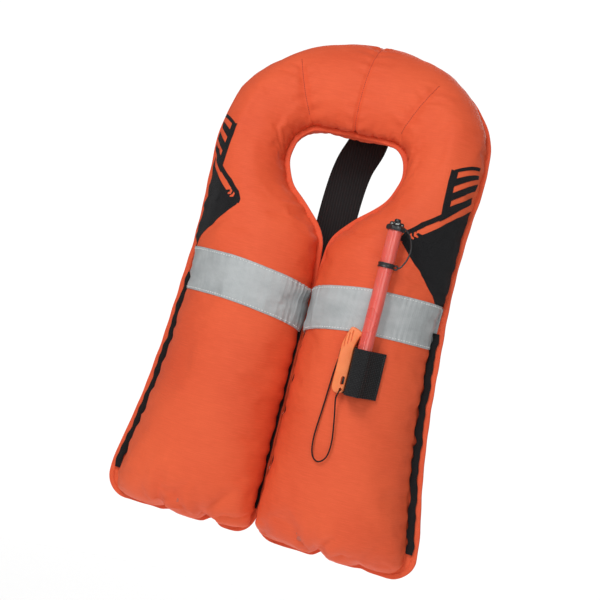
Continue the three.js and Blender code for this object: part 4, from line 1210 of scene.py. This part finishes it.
def ring_piece():
    body = turned("ring_body", rounded([
        (8.35, 117.8), (9.5, 117.8), (9.7, 118.6), (9.2, 119.6), (9.2, 121.4), (9.7, 122.4), (9.5, 123.2),
        (8.35, 123.2), (8.35, 117.8),
    ], 0.35, 2), mat_black, 64, TO_ORAL)
    lug_path = oral_points(smooth_path([(9.2, 0, 118.6), (11.2, 0, 118.3), (12.6, 0, 119.6), (12.6, 0, 121.4),
                                        (11.2, 0, 122.6), (9.2, 0, 122.4)], 24))
    lug = round_tube("ring_lug", lug_path, 0.95, mat_black, 10)
    return joined("tether_ring_moulding", [body, lug])


stand_for(ring_piece(), "jacket", "black_plastic", "tether_ring")

TETHER_ROUTE = [
    (13.3, 0, 120.5), (16.5, 0.5, 123.5), (20.5, 2, 133), (21.5, 3, 145), (17.5, 1.5, 157), (12.2, 0, 163.2),
    (9.8, 0, 163.9),
]
tether_path = oral_points(smooth_path(TETHER_ROUTE, 60))
tether = round_tube("tether_cord", tether_path, 0.95, mat_black, 12)
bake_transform(tether)
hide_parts("cap_tether")

for node_name, piece_name, piece_body, piece_slot, piece_material in (
    ("tube_base", "tube_foot", "jacket", "black_plastic", mat_black),
    ("valve_body", "valve_seat", "jacket", "clear_plastic", mat_clear),
    ("valve_poppet", "valve_stem", "poppet", "clear_plastic", mat_clear),
):
    stand_for(refined(piece_name, node_name, piece_material, 0.25, 2), piece_body, piece_slot, node_name)

# ---------------------------------------------------------------- keeper patch, whistle and lanyard

KEEPER = {"left": 75, "right": 113, "top": -179, "foot": -231, "lift": 1.2, "thickness": 1.5}
ARCH = {"half": 9.6, "height": 20.0, "sharpness": 8, "wall": 1.2}
# To its right the elastic slopes away like a tent, from a place beside the tube.
TENT = {"height": 18.0, "from": 6.0, "run": 14.0}


def front_y(x, z):
    """The y of the finished front panel at x, z on the right lobe, by the nearest of its points."""
    surface = PANEL_GRID[FRONT][0]
    s = station_at(z, 0.5)
    outer, inner, margin, _ = section(s.ravel())
    start = outer[:, 0] - margin
    end = inner[:, 0] + EDGE_MARGIN
    off = np.clip((x.ravel() - (start + end) / 2) / ((start - end) / 2), -1, 1)
    across = np.arccos(off) / np.pi
    return on_panel(FRONT, s.ravel(), across, 0.0)[:, 1].reshape(x.shape)


def keeper_patch():
    """An elastic patch, sewn flat at its sides, that stands up over the foot of the tube."""
    u = np.concatenate([np.linspace(-1.9, -1, 14)[:-1], np.linspace(-1, 1, 61), np.linspace(1, 2.4, 24)[1:]])
    z = np.linspace(KEEPER["top"], KEEPER["foot"], 60)

    def layer(extra, half):
        left, right = ORAL["x"] - half, ORAL["x"] + half
        x = np.where(u < -1, left + (u + 1) / 0.9 * (left - KEEPER["left"]),
                     np.where(u > 1, right + (u - 1) / 1.4 * (KEEPER["right"] - right), ORAL["x"] + u * half))
        x, zz = np.meshgrid(x, z)
        v = np.clip(np.abs(x - ORAL["x"]) / half, 0, 1)
        tent = TENT["height"] * np.clip(1 - (x - ORAL["x"] - TENT["from"]) / TENT["run"], 0, 1) ** 1.4
        slack = 0.6 * np.sin(zz / 6.3) * np.clip(v * 1.4 - 0.3, 0, 1) + 0.35 * np.sin(x / 2.3 + zz / 11)
        arch = ARCH["height"] * (1 - v ** ARCH["sharpness"])
        arch = np.where(x > ORAL["x"], np.maximum(arch, tent), arch)
        return np.stack([x, front_y(x, zz) - KEEPER["lift"] - 1.2 - extra - arch - slack * 0.6, zz], -1)

    outside = layer(KEEPER["thickness"], ARCH["half"] + ARCH["wall"])
    return shell("elastic_keeper", outside, layer(0.0, ARCH["half"]), mat_elastic)


keeper = keeper_patch()
stand_for(keeper, "jacket", "black_webbing", "keeper_patch")


def keeper_stitches():
    """The patch's right edge is sewn down with two rows of thread."""
    z = np.linspace(KEEPER["top"] - 2, KEEPER["foot"] + 2, 60)
    rows = []
    for k, x in enumerate((KEEPER["right"] - 1.6, KEEPER["right"] - 4.2)):
        x = np.full(len(z), x)
        lift = KEEPER["lift"] + 1.2 + KEEPER["thickness"] + 0.1
        path = np.stack([x, front_y(x, z) - lift, z], -1)
        rows.append(stitches(f"keeper_stitches_{k}", path, np.tile([0.0, -1.0, 0.0], (len(z), 1)),
                             mat_black_thread, 2.8, 1.8, 0.4, 0.35))
    sewn = joined("keeper_stitches", rows)
    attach(sewn, "jacket")


keeper_stitches()

CLIP = {"front": -67.8, "back": -66.9}
WHISTLE = {"x": 72.2, "back": -70.5, "front": -79.1, "foot": -232, "top": -158, "half": 7.3}
# The whistle's outline above its round foot, as x and z. Its mouth end leans over to the right.
WHISTLE_OUTLINE = [
    (79.5, -224.7), (79.5, -200), (79.4, -184), (79.6, -177), (81.4, -170.5), (83.9, -164.8), (84.2, -162.3),
    (82.6, -161.0), (77, -158.8), (72.6, -157.8), (70.6, -159.2), (68.6, -164.5), (66.4, -171.5),
    (65.1, -178), (64.9, -186), (64.9, -200), (64.9, -224.7),
]


def whistle():
    """A flat whistle with rounded edges, grip grooves, a window, a mouth slot and a cord hole, and a black
    block in the window as painted shade.
    """
    half = WHISTLE["half"]
    foot = [(WHISTLE["x"] - half * math.cos(a), WHISTLE["foot"] + half * (1 - math.sin(a)))
            for a in np.linspace(0, math.pi, 22)[1:-1]]
    outline = smooth_path([(x, 0, z) for x, z in WHISTLE_OUTLINE], 90)[:, [0, 2]].tolist() + foot
    centre_y = (WHISTLE["front"] + WHISTLE["back"]) / 2
    count = len(outline)
    points = [(x, y, z) for y in (WHISTLE["front"], WHISTLE["back"]) for x, z in outline]
    faces = [tuple(range(count)), tuple(reversed(range(count, 2 * count)))]
    faces += [(k, (k + 1) % count, (k + 1) % count + count, k + count) for k in range(count)]
    body = new_mesh("whistle_body", points, faces, mat_whistle)
    edges = body.modifiers.new("edges", "BEVEL")
    edges.width = 1.7 * MM
    edges.segments = 4
    edges.limit_method = "ANGLE"
    edges.angle_limit = math.radians(50)
    apply_modifiers(body)
    across_y = Matrix.Rotation(math.pi / 2, 4, "X")

    def round_cut(x, z, radius, depth=30):
        at = Matrix.Translation(Vector((x, WHISTLE["front"], z)) * MM) @ across_y
        return turned("round_cut", [(0, -depth), (radius, -depth), (radius, depth), (0, depth)], None, 32, at)

    window = box_piece((73.6, -90, -222.6), (77.6, centre_y, -212.4), 1.9)
    mouth = box_piece((74.5, centre_y - 1.5, -176), (81.5, centre_y + 1.5, -150), 0.6)
    front = WHISTLE["front"]
    grooves = [box_piece((x, front - 2, -181 + x - 67), (x + 1.5, front + 1.5, -168 + x - 67), 0.6)
               for x in (67.4, 70.6, 73.8)]
    cutters = [window, mouth, *grooves, round_cut(75.4, -227.2, 1.7)]
    for cutter in cutters:
        hole = body.modifiers.new("hole", "BOOLEAN")
        hole.operation = "DIFFERENCE"
        hole.solver = "EXACT"
        hole.object = cutter
    apply_modifiers(body)
    for cutter in cutters:
        bpy.data.objects.remove(cutter)
    clip = box_piece((76.4, CLIP["front"] + 0.05, -196), (79.4, CLIP["back"] - 0.05, -174.8), 0.3)
    bridge = box_piece((76.4, WHISTLE["back"] - 1.5, -177.8), (79.4, CLIP["back"] - 0.05, -174.8), 0.5)
    clip.data.materials.append(mat_whistle)
    bridge.data.materials.append(mat_whistle)
    # Painted shade: a black block inside the window stands for the shade in the whistle's hollow.
    window_shade_block = box_piece((73.9, centre_y - 0.6, -221.6), (77.5, centre_y + 0.4, -213.4), 0.3)
    window_shade_block.data.materials.append(mat_black)
    made = joined("orange_whistle", [body, clip, bridge, window_shade_block])
    made.data.set_sharp_from_angle(angle=math.radians(40))
    return made


def box_piece(low, high, round_by=0.4):
    """A block with rounded edges, from its lowest and highest corners."""
    points = [(x, y, z) for x in (low[0], high[0]) for y in (low[1], high[1]) for z in (low[2], high[2])]
    faces = [(0, 1, 3, 2), (4, 6, 7, 5), (0, 4, 5, 1), (2, 3, 7, 6), (0, 2, 6, 4), (1, 5, 7, 3)]
    piece = new_mesh("block", points, faces)
    rounding = piece.modifiers.new("rounding", "BEVEL")
    rounding.width = round_by * MM
    rounding.segments = 3
    return apply_modifiers(piece)


stand_for(whistle(), "whistle", "whistle_orange", "whistle")
tab = box_piece((62.4, -68.1, -194.4), (67.4, -66.1, -184.2), 0.7)
tab.name = "lanyard_tab_webbing"
tab.data.materials.append(mat_web)
stand_for(tab, "jacket", "black_webbing", "lanyard_tab")

LANYARD_ROUTE = [
    (63.2, -68.2, -196), (61.6, -68.5, -212), (59.6, -68.7, -250), (57.6, -68.9, -285), (60.4, -69.5, -304),
    (68.5, -70.4, -310.5), (77, -71.4, -303), (79, -72.4, -285), (75.6, -74.2, -258), (73, -76.7, -242),
    (73.2, -79.8, -236), (74.6, -81.2, -231.5), (75.4, -80.2, -227.8),
]
lanyard_path = smooth_path(LANYARD_ROUTE, 260)
lanyard = round_tube("lanyard_cord", lanyard_path, 0.9, mat_cord, 12, twist=2.2, strands=3, groove=0.16)
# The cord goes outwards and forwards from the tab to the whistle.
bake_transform(lanyard)
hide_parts("whistle_lanyard")

# ---------------------------------------------------------------- back strap and belt

BACK_STRAP_WIDTH = 50
ANCHOR_STATION = TOP - 0.1
ANCHOR_HALF = 31
OUTER_STATION, INNER_STATION = 46, 18
STRAP_ROUTE = [
    (4, 83.2, 99.5), (3, 80, 84), (2, 78.8, 61), (-8, 79.4, 30), (-13, 82, -10), (-15, 88, -70),
    (-14, 99, -150), (-10, 118, -225), (-6, 141, -280), (-4, 156.6, -312), (-4, 157.2, -338),
]


def web_section(width, thickness, columns=15):
    """The section of a strap: flat faces and rounded selvedges."""
    half, thin = width / 2, thickness / 2
    x = np.linspace(-half + thin, half - thin, columns)
    upper = [(v, thin * (1 + 0.10 * math.cos(v * 4.2))) for v in x]
    lower = [(v, -thin * (1 + 0.10 * math.cos(v * 4.2))) for v in x[::-1]]
    return [*upper, (half - thin * 0.3, thin * 0.7), (half, 0), (half - thin * 0.3, -thin * 0.7), *lower,
            (-half + thin * 0.3, -thin * 0.7), (-half, 0), (-half + thin * 0.3, thin * 0.7)]


def anchor_step(across):
    """The anchor's half width in stations, which are wider at the collar's outer edge than at its inner."""
    share = (1 - np.cos(np.pi * across)) / 2
    return ANCHOR_HALF / (OUTER_STATION * (1 - share) + INNER_STATION * share)


def anchor_grid(across):
    """A patch of even width on the back of the collar, as stations and places across."""
    u = np.linspace(-1, 1, 41)
    s = ANCHOR_STATION + u[:, None] * anchor_step(across)[None, :]
    return s, np.broadcast_to(across, (len(u), len(across)))


def back_strap():
    sewn = on_panel(BACK, np.full(4, ANCHOR_STATION), np.array([0.27, 0.32, 0.37, 0.42]), np.full(4, 2.2))
    path = smooth_path(np.vstack([sewn, STRAP_ROUTE[1:]]), 170)
    along = np.gradient(path, axis=0)
    along /= np.linalg.norm(along, axis=1)[:, None]
    wide = np.array([1.0, 0, 0]) - along * along[:, :1]
    wide /= np.linalg.norm(wide, axis=1)[:, None]
    strap_section = web_section(BACK_STRAP_WIDTH, 1.6)
    return sweep("back_strap_webbing", path, strap_section, mat_web, up=np.cross(wide, along))


stand_for(back_strap(), "jacket", "black_webbing", "back_strap")


def strap_anchor():
    """The patch that is sewn over the strap's end."""
    across = np.linspace(0.2, 0.46, 34)
    s, a = anchor_grid(across)
    u = np.linspace(-1, 1, 41)[:, None]
    over_strap = np.clip((0.93 - np.abs(u)) / 0.12, 0, 1)
    lift = 1.4 + 2.6 * over_strap * np.ones_like(a)
    patch = shell("strap_anchor_patch", on_panel(BACK, s, a, lift), on_panel(BACK, s, a, lift - 0.9), mat_web)
    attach(patch, "jacket")
    rows = []
    for k, (u0, a0, u1, a1) in enumerate([
        (-0.8, 0.215, 0.8, 0.215), (0.8, 0.215, 0.8, 0.445), (0.8, 0.445, -0.8, 0.445),
        (-0.8, 0.445, -0.8, 0.215), (-0.8, 0.215, 0.8, 0.445), (-0.8, 0.445, 0.8, 0.215),
    ]):
        t = np.linspace(0, 1, 40)
        aa = a0 + (a1 - a0) * t
        ss = ANCHOR_STATION + (u0 + (u1 - u0) * t) * anchor_step(aa)
        path = on_panel(BACK, ss, aa, np.full(40, 4.0))
        up = on_panel(BACK, ss, aa, np.full(40, 5.0)) - path
        rows.append(stitches(f"anchor_stitches_{k}", path, up, mat_bright_thread, 3.0, 2.1, 0.45, 0.3))
    sewn = joined("anchor_stitches", rows)
    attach(sewn, "jacket")
    return patch


stand_for(strap_anchor(), "jacket", "black_webbing", "strap_anchor")

BELT_Z = -320
BELT_ROUTE = [
    (-66, 81.4), (-42, 81.2), (-34.6, 82), (-32.9, 85), (-34.6, 88), (-42, 88.6), (-70, 86), (-104, 85.4),
    (-128, 92), (-141, 110), (-140, 136), (-120, 155), (-80, 160), (0, 160.4), (80, 160), (122, 155),
    (143, 136), (144, 110), (138, 95), (126, 88.4), (116, 87.9), (112.8, 86), (116, 83.6), (128, 83.4),
]
PLUG_STRAP_ROUTE = [
    (56, 88.3), (36, 88.8), (26.6, 88.4), (24.2, 85), (26.6, 81.6), (36, 79.8), (50, 79.2), (70, 79),
    (100, 79), (132, 79),
]


def belt_band(name, route, count, thickness):
    path = smooth_path([(x, y, BELT_Z) for x, y in route], count)
    turned_section = [(b, a) for a, b in web_section(38, thickness)]
    return sweep(name, path, turned_section, mat_belt, up=(0, 0, 1))


stand_for(belt_band("waist_belt_webbing", BELT_ROUTE, 360, 2.0), "jacket", "black_webbing", "waist_belt")
stand_for(belt_band("plug_strap_webbing", PLUG_STRAP_ROUTE, 120, 1.6), "plug", "black_webbing", "plug_strap")

for node_name, piece_name, piece_body, piece_slot, piece_material, piece_bevel in (
    ("buckle_socket", "socket_moulding", "jacket", "black_plastic", mat_black, 1.1),
    ("buckle_plug", "plug_moulding", "plug", "black_plastic", mat_black, 0.7),
    ("belt_adjuster", "adjuster_moulding", "jacket", "black_plastic", mat_black, 0.7),
    ("belt_loop_left", "loop_left_webbing", "jacket", "black_webbing", mat_web, 0.5),
    ("belt_loop_right", "loop_right_webbing", "jacket", "black_webbing", mat_web, 0.5),
    ("inflator_stem", "stem_moulding", "jacket", "black_plastic", mat_black, 0.4),
    ("inflator_body", "inflator_moulding", "jacket", "black_plastic", mat_black, 1.0),
    ("stem_nut", "hex_nut", "nut", "black_plastic", mat_black, 0.5),
    ("gas_cylinder", "cylinder_shell", "cylinder", "cylinder_paint", mat_cylinder, 0.2),
    ("firing_pin", "pin_steel", "striker", "steel", mat_steel, 0.2),
    ("manual_lever", "lever_moulding", "lever", "whistle_orange", mat_whistle, 0.6),
    ("lever_pin", "pivot_steel", "jacket", "steel", mat_steel, 0.3),
    ("sensor_cap", "cap_moulding", "sensor_cup", "clear_plastic", mat_clear, 0.4),
    ("sensor_cartridge", "spool_moulding", "jacket", "clear_plastic", mat_clear, 0.4),
):
    piece = refined(piece_name, node_name, piece_material, piece_bevel, 3)
    stand_for(piece, piece_body, piece_slot, node_name)


def coil_spring(name, node, coil, fixed_z, place_points):
    """A wire spring wound between its low and high heights, standing in for its CAD node."""
    turn = np.linspace(0, coil["turns"], 26 * coil["turns"])
    ends = np.clip(np.minimum(turn, coil["turns"] - turn), 0, 1)
    climb = np.concatenate([[0], np.cumsum(0.25 + ends)[:-1]])
    height = coil["low"] + coil["wire"] + (coil["high"] - coil["low"] - 2 * coil["wire"]) * climb / climb[-1]
    angle = 2 * np.pi * turn
    path = place_points(np.stack([coil["radius"] * np.cos(angle), coil["radius"] * np.sin(angle), height], 1))
    spring = round_tube(name, path, coil["wire"] * 0.94, mat_steel, 10)
    stand_for(spring, "jacket", "steel", node)
    anchor, along = place_points(np.array([(0, 0, fixed_z), (0, 0, fixed_z + 1)]))
    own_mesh(spring)


FIRING_AXIS = (-76, 80)
VALVE_COIL = {"radius": 2.3, "wire": 0.35, "low": 157.8, "high": 164.6, "turns": 4}
FIRING_COIL = {"radius": 3.2, "wire": 0.45, "low": -220.6, "high": -206.5, "turns": 5}
coil_spring("valve_coil", "valve_spring", VALVE_COIL, VALVE_COIL["low"], oral_points)
coil_spring("firing_coil", "firing_spring", FIRING_COIL, FIRING_COIL["high"],
            lambda points: points + [FIRING_AXIS[0], FIRING_AXIS[1], 0])

# ---------------------------------------------------------------- floor and light


def stage_floor():
    """A pale floor that fades out far from the jacket."""
    n = Nodes("floor_paint")
    separate = n.add("ShaderNodeVectorMath", operation="LENGTH")
    n.link(n.where, separate.inputs[0])
    fade = n.ramp(separate.outputs["Value"], 0.7, 2.4, 0.0, 1.0)
    clear = n.add("ShaderNodeBsdfTransparent")
    mixed = n.add("ShaderNodeMixShader")
    n.link(fade, mixed.inputs[0])
    n.link(n.shader.outputs[0], mixed.inputs[1])
    n.link(clear.outputs[0], mixed.inputs[2])
    n.link(mixed.outputs[0], n.tree.nodes["Material Output"].inputs["Surface"])
    n.finish((0.95, 0.95, 0.95), 0.8, Emission_Color=(1, 1, 1, 1), Emission_Strength=0.42)
    angle = np.linspace(0, 2 * np.pi, 96, endpoint=False)
    ring = [(3400 * math.cos(a), 3400 * math.sin(a), 0) for a in angle]
    floor = new_mesh("floor", ring, [tuple(range(96))], n.material, False)
    floor.location.z = -1.0


def area_light(name, place_at, aim, size, power, color=(1, 1, 1)):
    data = bpy.data.lights.new(name, "AREA")
    data.shape = "RECTANGLE"
    data.size, data.size_y = size
    data.energy = power
    data.color = color
    light = bpy.data.objects.new(name, data)
    light.location = place_at
    light.rotation_euler = (Vector(aim) - Vector(place_at)).to_track_quat("-Z", "Y").to_euler()
    bpy.context.scene.collection.objects.link(light)


def studio():
    world = bpy.data.worlds.new("studio")
    world.use_nodes = True
    tree = world.node_tree
    background = tree.nodes["Background"]
    seen = tree.nodes.new("ShaderNodeBackground")
    seen.inputs["Color"].default_value = (1, 1, 1, 1)
    seen.inputs["Strength"].default_value = 1.05
    background.inputs["Color"].default_value = (1, 0.985, 0.97, 1)
    background.inputs["Strength"].default_value = 0.26
    path = tree.nodes.new("ShaderNodeLightPath")
    mixed = tree.nodes.new("ShaderNodeMixShader")
    tree.links.new(path.outputs["Is Camera Ray"], mixed.inputs[0])
    tree.links.new(background.outputs[0], mixed.inputs[1])
    tree.links.new(seen.outputs[0], mixed.inputs[2])
    tree.links.new(mixed.outputs[0], tree.nodes["World Output"].inputs["Surface"])
    bpy.context.scene.world = world
    area_light("key", (-0.55, -1.55, 1.15), (0, 0, -0.12), (0.75, 0.75), 20)
    area_light("front_fill", (1.15, -1.9, 0.3), (0, 0, -0.15), (1.2, 1.2), 11)
    area_light("strip", (-0.35, -1.6, 0.4), (0.05, 0, -0.15), (0.12, 1.3), 4.5)
    area_light("back_fill", (0.2, 1.9, 0.9), (0, 0, -0.1), (1.5, 1.2), 15)
    bpy.context.scene.view_settings.view_transform = "Standard"


stage_floor()
studio()
